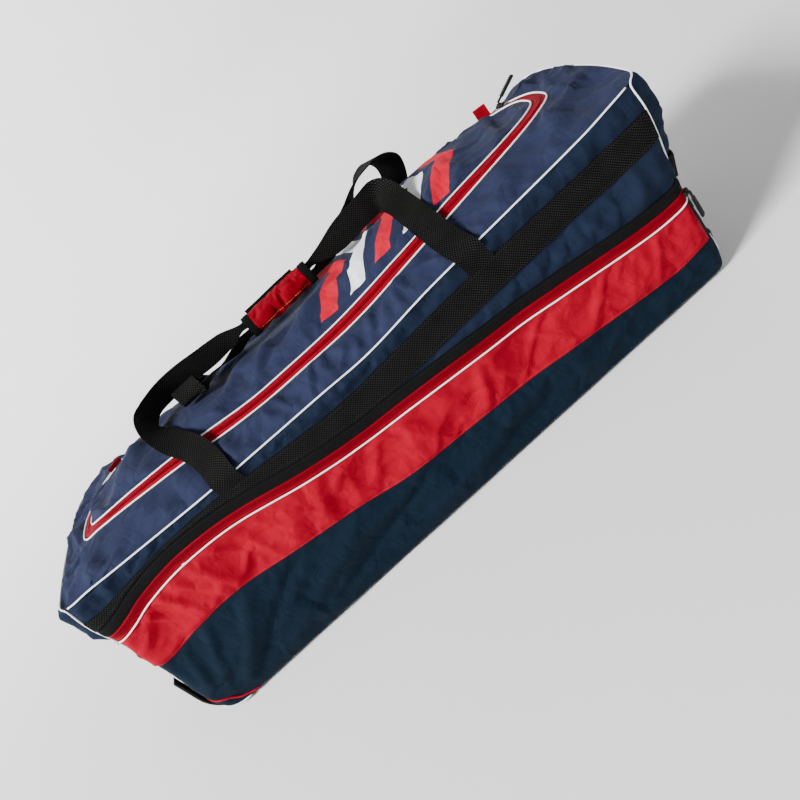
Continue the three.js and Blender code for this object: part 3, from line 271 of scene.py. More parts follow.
def smooth_column(table, at, column=1):
    """Smooth value between a table's rows, whose places are in its first column."""
    places, values = table[:, 0], table[:, column]
    slopes = np.empty_like(values)
    slopes[1:-1] = (values[2:] - values[:-2]) / (places[2:] - places[:-2])
    slopes[0] = (values[1] - values[0]) / (places[1] - places[0])
    slopes[-1] = (values[-1] - values[-2]) / (places[-1] - places[-2])
    i = np.clip(np.searchsorted(places, at) - 1, 0, len(places) - 2)
    span = places[i + 1] - places[i]
    t = np.clip((at - places[i]) / span, 0, 1)
    lean = span * (t * (1 - t) ** 2 * slopes[i] - t * t * (1 - t) * slopes[i + 1])
    return values[i] + (values[i + 1] - values[i]) * t * t * (3 - 2 * t) + lean


def section(name, x):
    return smooth_column(SECTIONS, x, SECTION_NAMES.index(name))


def smoothstep(x, low, high):
    t = np.clip((x - low) / (high - low), 0, 1)
    return t * t * (3 - 2 * t)


def dents(table, x, y):
    """Depth of a table's dents at each place."""
    depth = np.zeros(np.broadcast(x, y).shape)
    for at_x, at_y, half_long, half_wide, slant, deep in table:
        turn = math.radians(slant)
        along = ((x - at_x) * math.cos(turn) + (y - at_y) * math.sin(turn)) / half_long
        aside = ((y - at_y) * math.cos(turn) - (x - at_x) * math.sin(turn)) / half_wide
        depth = depth + deep * np.exp(-along * along - aside * aside)
    return depth


def outline(distance):
    """Plan place and outward normal at distances round the bag, from the middle of the wheel end."""
    far = np.mod(distance, PERIMETER)
    behind = np.where(far > PERIMETER / 2, -1.0, 1.0)
    near = np.minimum(far, PERIMETER - far)
    half = STRAIGHT_END / 2
    arc = 2 * HALF_CORNER
    turn = (np.clip((near - half) / CORNER, 0, math.pi / 2)
            + np.clip((near - half - arc - STRAIGHT_SIDE) / CORNER, 0, math.pi / 2))
    along = np.clip(near - half - arc, 0, STRAIGHT_SIDE)
    wheel_part = np.clip(near, 0, half)
    pull_part = np.clip(near - half - 2 * arc - STRAIGHT_SIDE, 0, half)
    nx, ny = -np.cos(turn), -np.sin(turn)
    x = CORNER - LENGTH / 2 + along + CORNER * nx
    y = pull_part - wheel_part + CORNER * ny
    return x, y * behind, nx, ny * behind


def side_swell(x, y, z):
    rise = np.clip(z / section("edge", x), 0, 1)
    deep = dents(SIDE_DENTS, np.where(y < 0, x, -x), z)
    return SIDE_BULGE * np.sin(math.pi * rise ** BULGE_LOW) - np.sin(math.pi * rise) * deep


def end_swell(x, y, z):
    end = np.where(x < 0, smooth_column(WHEEL_END, z), smooth_column(PULL_END, z))
    crossing = 1 - (y / (WIDTH / 2)) ** 2
    return end + END_BULGE * crossing * smoothstep(z, 0, END_FULL)


def wall(distance, rise):
    """Places on the bag's wall, at distances round it and rises up it."""
    distance, rise = np.broadcast_arrays(np.asarray(distance, float), np.asarray(rise, float))
    x, y, nx, ny = outline(distance)
    turn = np.maximum(BASE_TURN - rise, 0) / BASE_TURN
    z = np.where(turn > 0, BASE_TURN * (1 - np.sin(turn)), rise)
    out = nx ** 2 * end_swell(x, y, z) + ny ** 2 * side_swell(x, y, z) - BASE_TURN * (1 - np.cos(turn))
    return np.stack([x + nx * out, y + ny * out, z], -1)


def unit(vectors):
    return vectors / np.linalg.norm(vectors, axis=-1, keepdims=True)


def wall_ways(distance, rise):
    """The ways along, up and out of the wall."""
    along = unit(wall(distance + WALL_STEP, rise) - wall(distance - WALL_STEP, rise))
    up = unit(wall(distance, rise + WALL_STEP) - wall(distance, rise - WALL_STEP))
    return along, up, unit(np.cross(along, up))


def on_wall(distance, rise, out):
    return wall(distance, rise) + wall_ways(distance, rise)[2] * np.asarray(out)[..., None]


def top_height(x, y):
    """Height of the top, without the lid's own rise."""
    edge = section("edge", x)
    dome = 1 - np.minimum(np.abs(y) / (WIDTH / 2), 1) ** DOME_POWER
    deep = dents(TOP_DENTS, x, y) * np.minimum(1, DENT_EASE * dome)
    return edge + (section("crown", x) - LID_RISE - edge) * dome - deep


def edge_rise(distance):
    x, y, _, _ = outline(distance)
    return top_height(x, y)


def x_at(distance):
    return wall(distance, BASE_TURN)[..., 0]


def section_rise(name):
    """A line round the wall whose rises the sections give."""
    return lambda distance: section(name, x_at(distance))


def above(line, by):
    """A line round the wall that stays a distance above another."""
    return lambda distance: line(distance) + by


seam_rise = section_rise("seam")


def guard_seam(x):
    reach = np.clip(GUARD_MIDDLE - x, 0, GUARD_SEAM - 1)
    return GUARD_TURN - np.sqrt(GUARD_SEAM ** 2 - reach ** 2)


def lower_low(distance):
    """Lowest rise of a side panel: under the base, or drawn up over the wheel guard."""
    x = x_at(distance)
    ease = smoothstep(x, GUARD_MIDDLE, GUARD_MIDDLE + 2 * BASE_TURN)
    lifted = guard_seam(x) + SEAM_ROOM
    return lifted + (LOWEST - lifted) * ease


def mapped_grid(columns, rows, shape, laid):
    """A grid bent on to a shape: both take places from 0 to 1 and give millimetres."""
    bm = bmesh.new()
    bmesh.ops.create_grid(bm, x_segments=columns, y_segments=rows, size=0.5)
    flat = np.array([vert.co[:2] for vert in bm.verts]) + 0.5
    for vert, point in zip(bm.verts, shape(flat[:, 0], flat[:, 1]) * MM):
        vert.co = point
    lay_cloth(bm, np.stack(laid(flat[:, 0], flat[:, 1]), -1) * MM)
    return bm, flat


def rumple(points, size, seed):
    """Smooth noise from -1 to 1 at each point, in lumps of about a size."""
    return np.array([noise.noise(Vector(point) / size + Vector((seed, 0, 0))) for point in points])


def creases(points, size, seed):
    """Sharp crests between smooth hollows, from 0 to 1, in a net of about a size."""
    net = [noise.noise(Vector(point) / size + Vector((0, seed, 0))) for point in points]
    return (1 - np.minimum(1, 2 * np.abs(net))) ** 2


SETTLE_FRAMES = 24
TINY = 1e-9  # least length that is divided by


def places_in(mesh):
    flat = np.empty(len(mesh.vertices) * 3, np.float32)
    mesh.vertices.foreach_get("co", flat)
    return flat.reshape(-1, 3)


def settle(piece, held, spare, push=0.01, reach=5.0, stiff=0.25):
    """Lets slack cloth fold: held at its seams, with spare cloth between, moving no further than reach."""
    before = places_in(piece.data)
    seams = piece.vertex_groups.new(name="seams")
    seams.add([int(i) for i in np.flatnonzero(held)], 1.0, "REPLACE")
    thickness = piece.modifiers["cloth"]
    thickness.show_viewport = False
    cloth = piece.modifiers.new("slack", "CLOTH")
    cloth.settings.vertex_group_mass = "seams"
    cloth.settings.shrink_min = -spare
    cloth.settings.shrink_max = -spare
    cloth.settings.use_pressure = True
    cloth.settings.uniform_pressure_force = push
    cloth.settings.bending_stiffness = stiff
    cloth.settings.effector_weights.gravity = 0.0
    cloth.settings.quality = 5
    cloth.collision_settings.use_collision = False
    cloth.point_cache.frame_start = 1
    cloth.point_cache.frame_end = SETTLE_FRAMES
    for number in range(1, SETTLE_FRAMES + 1):
        bpy.context.scene.frame_set(number)
    folded = piece.evaluated_get(bpy.context.evaluated_depsgraph_get()).data
    moved = places_in(folded) - before
    length = np.linalg.norm(moved, axis=1, keepdims=True)
    moved *= np.minimum(1, reach * MM / np.maximum(length, TINY))
    piece.modifiers.remove(cloth)
    piece.vertex_groups.remove(seams)
    bpy.context.scene.frame_set(1)
    piece.data.vertices.foreach_set("co", (before + moved).ravel())
    piece.data.update()
    thickness.show_viewport = True


CELL = 4
LEAST_ROWS = 6
SEWN_CELLS = 2.0  # over which a panel's slack grows from its edge
FOLD_SIZE = 0.06  # metres
FOLD_HEIGHT = 3.4
CREASE_SIZE = 0.08
CREASE_HEIGHT = 6.0
FINE_SIZE = 0.034
FINE_HEIGHT = 3.4
FOLD_DEPTH = 1.6  # of a fold that a table gives as 1
CLEAR_EASE = 16
BASE_EASE = 40  # rise at which cloth drawn under the base is slack again


def slack(points, seed, fullness, drawn):
    """How far slack cloth stands out: soft lumps and crisp creases, drawn out along the bag."""
    places = points / np.array([drawn, 1, 1])
    soft = FOLD_HEIGHT * rumple(places, FOLD_SIZE, seed)
    crisp = CREASE_HEIGHT * creases(places, CREASE_SIZE, seed)
    fine = FINE_HEIGHT * creases(places, FINE_SIZE, seed + 5)
    return fullness * (soft + crisp + fine)


def between(start, stop, low, high):
    """Turns places from 0 to 1 into distances round the wall and rises from low to high."""
    def place(u, v):
        distance = start + (stop - start) * u
        return distance, low(distance) + (high(distance) - low(distance)) * v
    return place


def cells_inside(u, v, columns, rows):
    """How many cells a place lies inside the edge of a grid."""
    return np.minimum(np.minimum(u, 1 - u) * columns, np.minimum(v, 1 - v) * rows)


def sewn_edge(bm):
    """Which points of a panel lie on its edges."""
    return np.array([vert.is_boundary for vert in bm.verts])


def wall_panel(name, start, stop, low, high, material, nodes, seed, fullness, drawn=1, folds=(),
               clear=None, spare=0.04):
    """A slack panel on the wall between two rises, sewn along its edges."""
    columns = round((stop - start) / CELL)
    middle = (start + stop) / 2
    rows = max(LEAST_ROWS, round(float(high(middle) - low(middle)) / CELL))
    place = between(start, stop, low, high)

    def shape(u, v):
        distance, rise = place(u, v)
        x, y, _, _ = outline(distance)
        x = np.where(y < 0, x, -x)
        free = np.clip(cells_inside(u, v, columns, rows) / SEWN_CELLS, 0, 1)
        free = free * smoothstep(rise, LOWEST, BASE_EASE)
        if clear is not None:
            free = free * np.clip(clear(distance, rise) / CLEAR_EASE, 0, 1)
        lumps = slack(wall(distance, rise) * MM, seed, fullness, drawn) - FOLD_DEPTH * dents(folds, x, rise)
        return on_wall(distance, rise, free * lumps)

    bm, flat = mapped_grid(columns, rows, shape, place)
    distance, rise = place(flat[:, 0], flat[:, 1])
    held = sewn_edge(bm) | (rise < BASE_TURN)
    if clear is not None:
        held = held | (clear(distance, rise) <= 0)
    piece = make_piece(bm, name, material, nodes, thickness=CLOTH_WALL)
    settle(piece, held, spare)
    return piece


def both_sides(start, stop):
    """The same stretch of the front and of the back, as (side name, start, stop)."""
    return [("front", start, stop), ("back", PERIMETER - stop, PERIMETER - start)]


LOWER_FOLDS = [
    (-395, 120, 90, 9, 62, -2.5), (-350, 95, 110, 12, 48, -3), (-330, 70, 120, 10, 30, 2.5),
    (-250, 60, 150, 13, 22, -3), (-120, 58, 130, 10, 14, 2.5), (40, 45, 160, 11, 10, -2.5),
    (-440, 95, 60, 8, 75, -2), (180, 42, 120, 9, 6, 2)]
# A darker copy of the upper panels' navy cloth: painted shade for the low panels, which face down and away
# from the light.
navy_lower_shaded = woven_cloth("navy_lower_cloth_painted_shade", (0.0055, 0.0130, 0.0245), (0.0031, 0.0079, 0.0146), 0.66)
WHOLE_SIDES = both_sides(FRONT_LEFT + SEAM_ROOM, FRONT_RIGHT - SEAM_ROOM)
for side, start, stop in WHOLE_SIDES:
    wall_panel(f"lower_cloth_{side}", start, stop, lower_low, seam_rise, navy_lower_shaded,
               [f"lower_panel_{side}"], seed=3, fullness=0.34, drawn=2.5, folds=LOWER_FOLDS, spare=0.012)


# Red side panels: a satin red polyester band that sweeps down along each side under the zip. Its
# upper edge is piped and its lower edge is folded over the navy panel and top-stitched.
TAPE_ABOVE = 8
TAPE_BELOW = 9
STITCH_PITCH = 4.2
STITCH_SIZE = (2.8, 0.55, 0.35)
SEAM_STITCH_IN = 2.2
SEAM_STITCH_ENDS = 4  # from the ends of the seam to the first and last stitch
SEAM_SAMPLES = 240
STITCH_LIFT = 0.15
LAY_FROM = 12  # how far off a piece is before it is laid on the cloth
zip_rise = section_rise("zip")
tape_low = above(zip_rise, -TAPE_BELOW)
red_piping_rise = above(tape_low, -PIPING_ROOM)
red_top = above(red_piping_rise, -SEAM_ROOM)
red_low = above(seam_rise, GAP)


def travelled_along(points):
    """How far along a line each of its points lies."""
    return np.concatenate([[0], np.cumsum(np.linalg.norm(np.diff(points, axis=0), axis=1))])


def dash_row(bm, points, outs, pitch, size):
    """Small blocks at even steps along points, each lying along the way and flat on its surface."""
    travelled = travelled_along(points)
    for at in np.arange(pitch / 2, travelled[-1], pitch):
        i = min(int(np.searchsorted(travelled, at)), len(points) - 1)
        share = (at - travelled[i - 1]) / (travelled[i] - travelled[i - 1])
        point = points[i - 1] + (points[i] - points[i - 1]) * share
        way = Vector(points[i] - points[i - 1]).normalized()
        aside = Vector(outs[i]).cross(way).normalized()
        out = way.cross(aside)
        turn = Matrix((way, aside, out)).transposed().to_4x4()
        place = Matrix.Translation(Vector(point) * MM) @ turn @ Matrix.Diagonal((*(Vector(size) * MM), 1))
        bmesh.ops.create_cube(bm, size=1.0, matrix=place)


def dash_piece(name, rows, material, pitch=STITCH_PITCH, size=STITCH_SIZE):
    """Stitches or zip teeth as one piece, from rows of points with their outward ways."""
    bm = bmesh.new()
    for points, outs in rows:
        dash_row(bm, points, outs, pitch, size)
    make_piece(bm, name, material)


def fibre_material(name, colour, dulled, grain, roughness, specular):
    """Drawn fibre, mottled at the scale of its strands."""
    material, tree, shader = new_material(name, roughness=roughness, specular_ior_level=specular)
    strands = speckle(tree, coordinates(tree, "Object"), grain, 2.0)
    dull = [part * dulled for part in colour]
    dress(tree, shader, blended(tree, strands, dull, colour), bumped(tree, strands, 0.1 * MM))
    return material


def thread_material(name, colour):
    return fibre_material(name, colour, dulled=0.6, grain=2600.0, roughness=0.6, specular=0.15)


def nearest_heights(panel, points, outs, lift):
    """Points dropped along their normals on to a panel, and lifted clear of it."""
    found = []
    for point, out in zip(points, outs):
        start = Vector((point + out * LAY_FROM) * MM)
        hit, place, _, _ = panel.ray_cast(start, -Vector(out), distance=2 * LAY_FROM * MM)
        found.append(np.array(place) / MM + out * lift if hit else point + out * lift)
    return np.array(found)


RED_FOLDS = [
    (-440, 190, 34, 7, 40, -2.2), (-418, 205, 30, 6, -52, -2.4), (-385, 208, 34, 7, -60, -2.6),
    (-352, 205, 30, 7, -48, -2.4), (-320, 196, 38, 8, -62, -2.2), (-286, 208, 26, 6, -45, -2),
    (-246, 180, 40, 9, -66, -2.2), (-205, 176, 34, 7, -50, -1.8), (-150, 160, 44, 10, 64, -2),
    (-60, 150, 46, 9, 50, -2), (10, 138, 42, 8, -58, -1.6), (110, 128, 52, 9, 62, -2),
    (196, 122, 46, 5, 38, -1.6), (222, 112, 42, 5, -48, -1.6), (300, 108, 50, 7, 42, -1.6),
    (390, 92, 44, 6, 60, -1.5)]
red_cloth = woven_cloth("red_side_cloth", (0.360, 0.0004, 0.0165), (0.230, 0.0003, 0.0105), 0.5)
red_thread = thread_material("red_thread", (0.58, 0.02, 0.03))
RED_SHORT = 13  # from the red band's end to the pull end's corner
for side, start, stop in both_sides(FRONT_RIGHT - RED_SHORT + GAP, FRONT_RIGHT - SEAM_ROOM):
    wall_panel(f"lower_cloth_end_{side}", start, stop, red_low, red_top, navy_lower_shaded, (), seed=13,
               fullness=0.3)
for side, start, stop in both_sides(FRONT_LEFT + SEAM_ROOM, FRONT_RIGHT - RED_SHORT):
    panel = wall_panel(f"red_cloth_{side}", start, stop, red_low, red_top, red_cloth,
                       [f"red_panel_{side}"], seed=11, fullness=0.5, drawn=1.3, folds=RED_FOLDS,
                       spare=0.025)
    bpy.context.view_layer.update()
    run = np.linspace(start + SEAM_STITCH_ENDS, stop - SEAM_STITCH_ENDS, SEAM_SAMPLES)
    rise = red_low(run) + SEAM_STITCH_IN
    outs = wall_ways(run, rise)[2]
    points = nearest_heights(panel, wall(run, rise), outs, STITCH_LIFT)
    dash_piece(f"red_seam_stitches_{side}", [(points, outs)], red_thread)


# White piping: a cord in a white woven cover, caught in the seams along the top, down the corners,
# under the side zip and beside the wheel guard. It stands half proud of the cloth.
PIPING_RADIUS = 1.15
PIPING_PROUD = 0.8
PIPING_SIDES = 10
PIPING_STEP = 5
TOP_CLEAR = 2 * PIPING_ROOM
BINDING_WIDTH = 14
CORNER_PIPING_LOW = 24
SEAM_START = PIPING_ROOM + 2.1
RUN_SAMPLES = 260
OVER_SAMPLES = 90
UP_SAMPLES = 50
CORNER_SAMPLES = 40
round_cord = np.linspace(0, 2 * math.pi, PIPING_SIDES + 1)
PIPING_SECTION = PIPING_RADIUS * np.stack([np.cos(round_cord), np.sin(round_cord)], -1)
tape_top = above(zip_rise, TAPE_ABOVE)
binding_low = above(tape_top, GAP)
binding_top = above(binding_low, BINDING_WIDTH)


def evenly_along(line, step):
    """The same line with its places a step apart; columns after x, y and z are carried along."""
    travelled = travelled_along(line[:, :3])
    at = np.linspace(0, travelled[-1], max(3, round(travelled[-1] / step)))
    return np.stack([np.interp(at, travelled, column) for column in line.T], -1)


def eased_line(points, passes):
    """The line with its sharp turns rounded and its ends kept."""
    for _ in range(passes):
        points[1:-1] = (points[:-2] + 2 * points[1:-1] + points[2:]) / 4
    return points


def step_at(share, count):
    """Number of the step that a share of the way falls on."""
    return np.rint(share * count).astype(int)


def swept(points, outs, profile, closed=False):
    """A closed section of (aside, out) places carried along points, square to its own way."""
    ways = np.gradient(points, axis=0)
    if closed:
        ways[0] = ways[-1] = points[1] - points[-2]
    aside = unit(np.cross(outs, ways))
    proud = unit(np.cross(ways, aside))
    travelled = travelled_along(points)
    round_it = travelled_along(profile)
    count = len(points) - 1
    sides = len(profile) - 1

    def shape(u, v):
        i, k = step_at(u, count), step_at(v, sides)
        return points[i] + aside[i] * profile[k, 0, None] + proud[i] * profile[k, 1, None]

    def laid(u, v):
        return travelled[step_at(u, count)], round_it[step_at(v, sides)]

    bm, _ = mapped_grid(count, sides, shape, laid)
    bmesh.ops.remove_doubles(bm, verts=bm.verts, dist=MERGE)
    if not closed:
        bmesh.ops.holes_fill(bm, edges=[edge for edge in bm.edges if edge.is_boundary], sides=0)
    bmesh.ops.recalc_face_normals(bm, faces=bm.faces)
    return bm


piping_white, tree, shader = new_material("piping_cover", roughness=0.42, specular_ior_level=0.4)
place = coordinates(tree, "UV")
cover = threads(tree, place, 0.7 * MM, "DIAGONAL")
grime = eased(tree, speckle(tree, place, 45.0, 4.0), 0.35, 0.75)
shade = blended(tree, grime, (0.74, 0.76, 0.76), (0.88, 0.89, 0.88))
dress(tree, shader, shade, bumped(tree, cover, 0.08 * MM, 0.6))


def wall_piping(name, distances, rises, passes=1):
    """Piping along a line on the wall, with its turns eased."""
    distances, rises = np.broadcast_arrays(np.asarray(distances, float), np.asarray(rises, float))
    line = np.concatenate([on_wall(distances, rises, PIPING_PROUD), wall_ways(distances, rises)[2]], -1)
    line = evenly_along(line, PIPING_STEP)
    bm = swept(eased_line(line[:, :3], passes), unit(line[:, 3:]), PIPING_SECTION)
    make_piece(bm, f"{name}_cord", piping_white, [name])


for side, start, stop in both_sides(FRONT_LEFT + SEAM_START, FRONT_RIGHT - SEAM_START):
    run = np.linspace(start, stop, RUN_SAMPLES)
    wall_piping(f"zip_piping_{side}", run, red_piping_rise(run))
    wall_piping(f"top_piping_{side}", run, edge_rise(run))
for side, corner in (("front", FRONT_RIGHT), ("back", BACK_RIGHT)):
    rises = np.linspace(CORNER_PIPING_LOW, tape_low(corner) - PIPING_ROOM, CORNER_SAMPLES)
    wall_piping(f"pull_corner_piping_{side}", corner, rises)
for name, first, last, low in (
        ("pull_end_piping", FRONT_RIGHT, BACK_RIGHT, float(binding_top(FRONT_RIGHT)) + PIPING_ROOM),
        ("wheel_end_piping", -FRONT_LEFT, FRONT_LEFT, GUARD_TURN)):
    over = np.linspace(first, last, OVER_SAMPLES)
    up = np.linspace(low, float(edge_rise(first)) - TOP_CLEAR, UP_SAMPLES)
    distances = np.concatenate([np.full(UP_SAMPLES, first), over, np.full(UP_SAMPLES, last)])
    rises = np.concatenate([up, edge_rise(over), up[::-1]])
    wall_piping(name, distances, rises, passes=3)


def front_distance(x):
    """Distance round the bag of a place on the front's wheel corner or straight side."""
    past = CORNER - LENGTH / 2 - x
    straight = FRONT_LEFT + HALF_CORNER
    return np.where(past > 0, straight - CORNER * np.arcsin(np.clip(past / CORNER, 0, 1)), straight - past)


seam_x = np.linspace(float(x_at(FRONT_LEFT)) + 3 * PIPING_ROOM, GUARD_MIDDLE, UP_SAMPLES)
for side, turn in (("front", 1), ("back", -1)):
    wall_piping(f"guard_piping_{side}", turn * front_distance(seam_x), guard_seam(seam_x))


# Red corner trim: a thin red ribbon along the edge of the patch over each lower wheel corner, front
# and back. It is sewn flat on the navy cloth beside the wheel guard.
CORNER_TRIM = np.array([(-467, 52), (-459, 42), (-449, 33), (-441, 21), (-428, 12), (-412, 6)], float)
TRIM_PROFILE = np.array([(-2.2, 0), (-1.6, 0.9), (1.6, 0.9), (2.2, 0), (-2.2, 0)])
TRIM_SAMPLES = 30
TRIM_LIFT = 0.2
trim_x = np.linspace(CORNER_TRIM[0, 0], CORNER_TRIM[-1, 0], TRIM_SAMPLES)
trim_rise = smooth_column(CORNER_TRIM, trim_x)
for side, turn in (("front", 1), ("back", -1)):
    distance = turn * front_distance(trim_x)
    outs = wall_ways(distance, trim_rise)[2]
    panel = bpy.data.objects[f"lower_cloth_{side}"]
    points = nearest_heights(panel, wall(distance, trim_rise), outs, TRIM_LIFT)
    bm = swept(eased_line(points, 2), outs, TRIM_PROFILE)
    make_piece(bm, f"corner_ribbon_{side}", red_cloth, [f"corner_trim_{side}"])


# Side zip: one red coil zip along the front, round the pull end and along the back. The woven tape
# is sewn in along both edges, and the two nylon coils stand up in a double row along its middle.
COIL_PITCH = 2.1
COIL_TURN = (1.25, 2.2, 1.2)
COIL_ASIDE = 1.35
COIL_LIFT = 0.75
COIL_ENDS = 1  # from the ends of the tape to the coils
COIL_SAMPLE = 3
TAPE_WALL = 0.9
TAPE_CELL = 4
TAPE_ROWS = 26
TAPE_WAVE = (0.35, 0.03, 5)  # height, size in metres and seed
# distance from the zip's middle, half width and height: cords beside the coil, then a stitched line
TAPE_RIDGES = [(3.6, 0.9, 1.3), (6.4, 0.5, -0.5)]


def zip_ridges(aside):
    """Height of the zip tape's surface, at distances from its middle."""
    return sum(high * np.exp(-((np.abs(aside) - at) / half) ** 2) for at, half, high in TAPE_RIDGES)


def wall_strip(start, stop, low, high, cell, rows, lift, wave, tuck=0.0):
    """A strip sewn along the wall: lift gives its height across, and tuck draws its lower edge down."""
    place = between(start, stop, low, high)
    height, size, seed = wave

    def shape(u, v):
        distance, rise = place(u, v)
        lumps = height * rumple(wall(distance, rise) * MM, size, seed)
        return on_wall(distance, rise - tuck * (1 - v) ** 2, lift(v) + lumps)

    return mapped_grid(round((stop - start) / cell), rows, shape, place)[0]


def tape_material(name, colour, deep):
    material, tree, shader = new_material(name, roughness=0.6, specular_ior_level=0.03)
    place = coordinates(tree, "UV")
    herring = threads(tree, place, 0.8 * MM, "DIAGONAL")
    rib = threads(tree, place, 1.3 * MM, "Y")
    weave = maths(tree, "MULTIPLY", herring, rib)
    tone = averaged(tree, weave, speckle(tree, place, 60.0, 3.0))
    dress(tree, shader, blended(tree, tone, deep, colour), bumped(tree, weave, 0.18 * MM, 0.8))
    return material


red_tape = tape_material("red_zip_tape", (0.30, 0.0005, 0.012), (0.13, 0.0003, 0.005))
# A little darker red than the tape: painted shade in the gaps between the coils' turns.
red_coil_shaded = fibre_material("red_zip_coil_painted_shade", (0.24, 0.0005, 0.010), dulled=0.5, grain=900.0,
                          roughness=0.45, specular=0.04)


def coil_rows(name, points, asides, outs):
    """A zip's two coils as rows of turns, side by side and half a turn apart."""
    rows = []
    for hand in (-1, 1):
        row = points + asides * hand * COIL_ASIDE + outs * COIL_LIFT
        shift = COIL_PITCH / 4 * (1 + hand)
        rows.append((row + unit(np.gradient(row, axis=0)) * shift, outs))
    dash_piece(name, rows, red_coil_shaded, COIL_PITCH, COIL_TURN)


ZIP_RUNS = [
    ("front", FRONT_LEFT + PIPING_ROOM, FRONT_RIGHT - GAP / 2),
    ("end", FRONT_RIGHT + GAP / 2, BACK_RIGHT - GAP / 2),
    ("back", BACK_RIGHT + GAP / 2, PERIMETER - FRONT_LEFT - PIPING_ROOM)]


def tape_lift(v):
    return zip_ridges((TAPE_BELOW + TAPE_ABOVE) * v - TAPE_BELOW)


for side, start, stop in ZIP_RUNS:
    bm = wall_strip(start, stop, tape_low, tape_top, TAPE_CELL, TAPE_ROWS, tape_lift, TAPE_WAVE)
    make_piece(bm, f"side_zip_tape_{side}", red_tape, [f"side_zip_{side}"],
               thickness=TAPE_WALL)
    run = np.linspace(start + COIL_ENDS, stop - COIL_ENDS, round((stop - start) / COIL_SAMPLE))
    _, ups, outs = wall_ways(run, zip_rise(run))
    coil_rows(f"side_zip_coil_{side}", wall(run, zip_rise(run)), ups, outs)


# Zip binding: a black grosgrain flap sewn along the zip's upper edge, all the way round. Its fold
# rolls over the tape, and a line of stitches runs along its upper edge.
BINDING_ROLL = 1.5
BINDING_WALL = 1.0
BINDING_CELL = 5
BINDING_ROWS = 10
BINDING_WAVE = (0.5, 0.04, 9)
BINDING_TUCK = 2.5
BINDING_FULL = 1.15
BINDING_ROUND = 0.7
EDGE_STITCH_IN = 3
FLAP_STITCH_OUT = 2.4


def webbing_material(name, pitch, crown_highlight, dark):
    """Black woven nylon: rows of raised floats, each row shifted half a step from the last, with painted
    highlights on the floats' crowns.
    """
    material, tree, shader = new_material(name, specular_ior_level=0.04)
    place = coordinates(tree, "UV")
    mirrored = add_node(tree, "ShaderNodeMapping", {"Vector": place, "Scale": (1, -1, 1)}).outputs[0]
    left = threads(tree, place, pitch * MM, "DIAGONAL")
    right = threads(tree, mirrored, pitch * MM, "DIAGONAL")
    weave = maths(tree, "MULTIPLY", left, right)
    mottle = speckle(tree, place, 35.0, 3.0)
    tone = maths(tree, "MULTIPLY", weave, eased(tree, mottle, 0.2, 0.8, 0.6, 1.1))
    # The floats' crowns are painted lighter than the rest: a painted highlight of the weave.
    shade = blended(tree, eased(tree, tone, 0.1, 0.8), [dark] * 3, (crown_highlight, crown_highlight, crown_highlight * 0.95))
    rough = eased(tree, weave, 0.0, 1.0, 0.85, 0.6)
    dress(tree, shader, shade, bumped(tree, weave, 0.5 * MM), rough)
    return material


def flap_lift(v):
    return 1 + BINDING_ROLL * np.sin(math.pi * np.clip(v * BINDING_FULL, 0, 1)) ** BINDING_ROUND


def wall_row(run, rise, out):
    """A row of places off the wall and their outward ways, for stitches."""
    return on_wall(run, rise, out), wall_ways(run, rise)[2]


grosgrain = webbing_material("black_grosgrain", 1.6, 0.009, 0.0035)
black_thread = thread_material("black_thread", (0.008, 0.008, 0.008))
for side, start, stop in ZIP_RUNS:
    bm = wall_strip(start, stop, binding_low, binding_top, BINDING_CELL, BINDING_ROWS, flap_lift,
                    BINDING_WAVE, BINDING_TUCK)
    make_piece(bm, f"zip_flap_{side}", grosgrain, [f"zip_binding_{side}"],
               thickness=BINDING_WALL)
    run = np.linspace(start + EDGE_STITCH_IN, stop - EDGE_STITCH_IN, round((stop - start) / 4))
    row = wall_row(run, binding_top(run) - EDGE_STITCH_IN, FLAP_STITCH_OUT)
    dash_piece(f"zip_flap_stitches_{side}", [row], black_thread)


# Upper side panels: navy polyester between the zip's flap and the piped top edge, front and back.
# The side strap is sewn down over each, and the cloth puckers above and below it.
WEBBING = 40
STRAP_CLEAR = 1.5
STRAP_LEAST = 2.5
STRAP_ROOM = 4
upper_low = above(binding_top, GAP)
upper_top = above(edge_rise, -SEAM_ROOM)
UPPER_FOLDS = [
    (-420, 268, 30, 6, 60, -1.8), (-300, 272, 34, 6, 40, -1.8), (-90, 262, 34, 6, 130, -2),
    (-20, 256, 40, 7, 50, -2), (60, 262, 30, 6, 120, -2.2), (120, 196, 34, 7, 60, -2),
    (210, 196, 44, 8, 45, -2.5), (290, 190, 50, 9, 60, -2.5), (350, 185, 46, 8, 118, -2.5),
    (420, 190, 60, 9, 75, -3), (395, 270, 40, 7, 50, -2), (250, 268, 36, 6, 130, -2)]


def strap_top(distance):
    least = upper_low(distance) + STRAP_CLEAR + STRAP_LEAST
    return np.maximum(section("strap", x_at(distance)), least)


def strap_low(distance):
    return np.maximum(strap_top(distance) - WEBBING, upper_low(distance) + STRAP_CLEAR)


def off_strap(distance, rise):
    """How far a place lies above or below the side strap, with a little room."""
    return np.maximum(strap_low(distance) - rise, rise - strap_top(distance)) - STRAP_ROOM


navy_upper = woven_cloth("navy_upper_cloth", (0.0115, 0.0188, 0.0400), (0.0065, 0.0106, 0.0228), 0.62)
for side, start, stop in WHOLE_SIDES:
    wall_panel(f"upper_cloth_{side}", start, stop, upper_low, upper_top, navy_upper,
               [f"upper_panel_{side}"], seed=23, fullness=1.0, folds=UPPER_FOLDS, clear=off_strap)


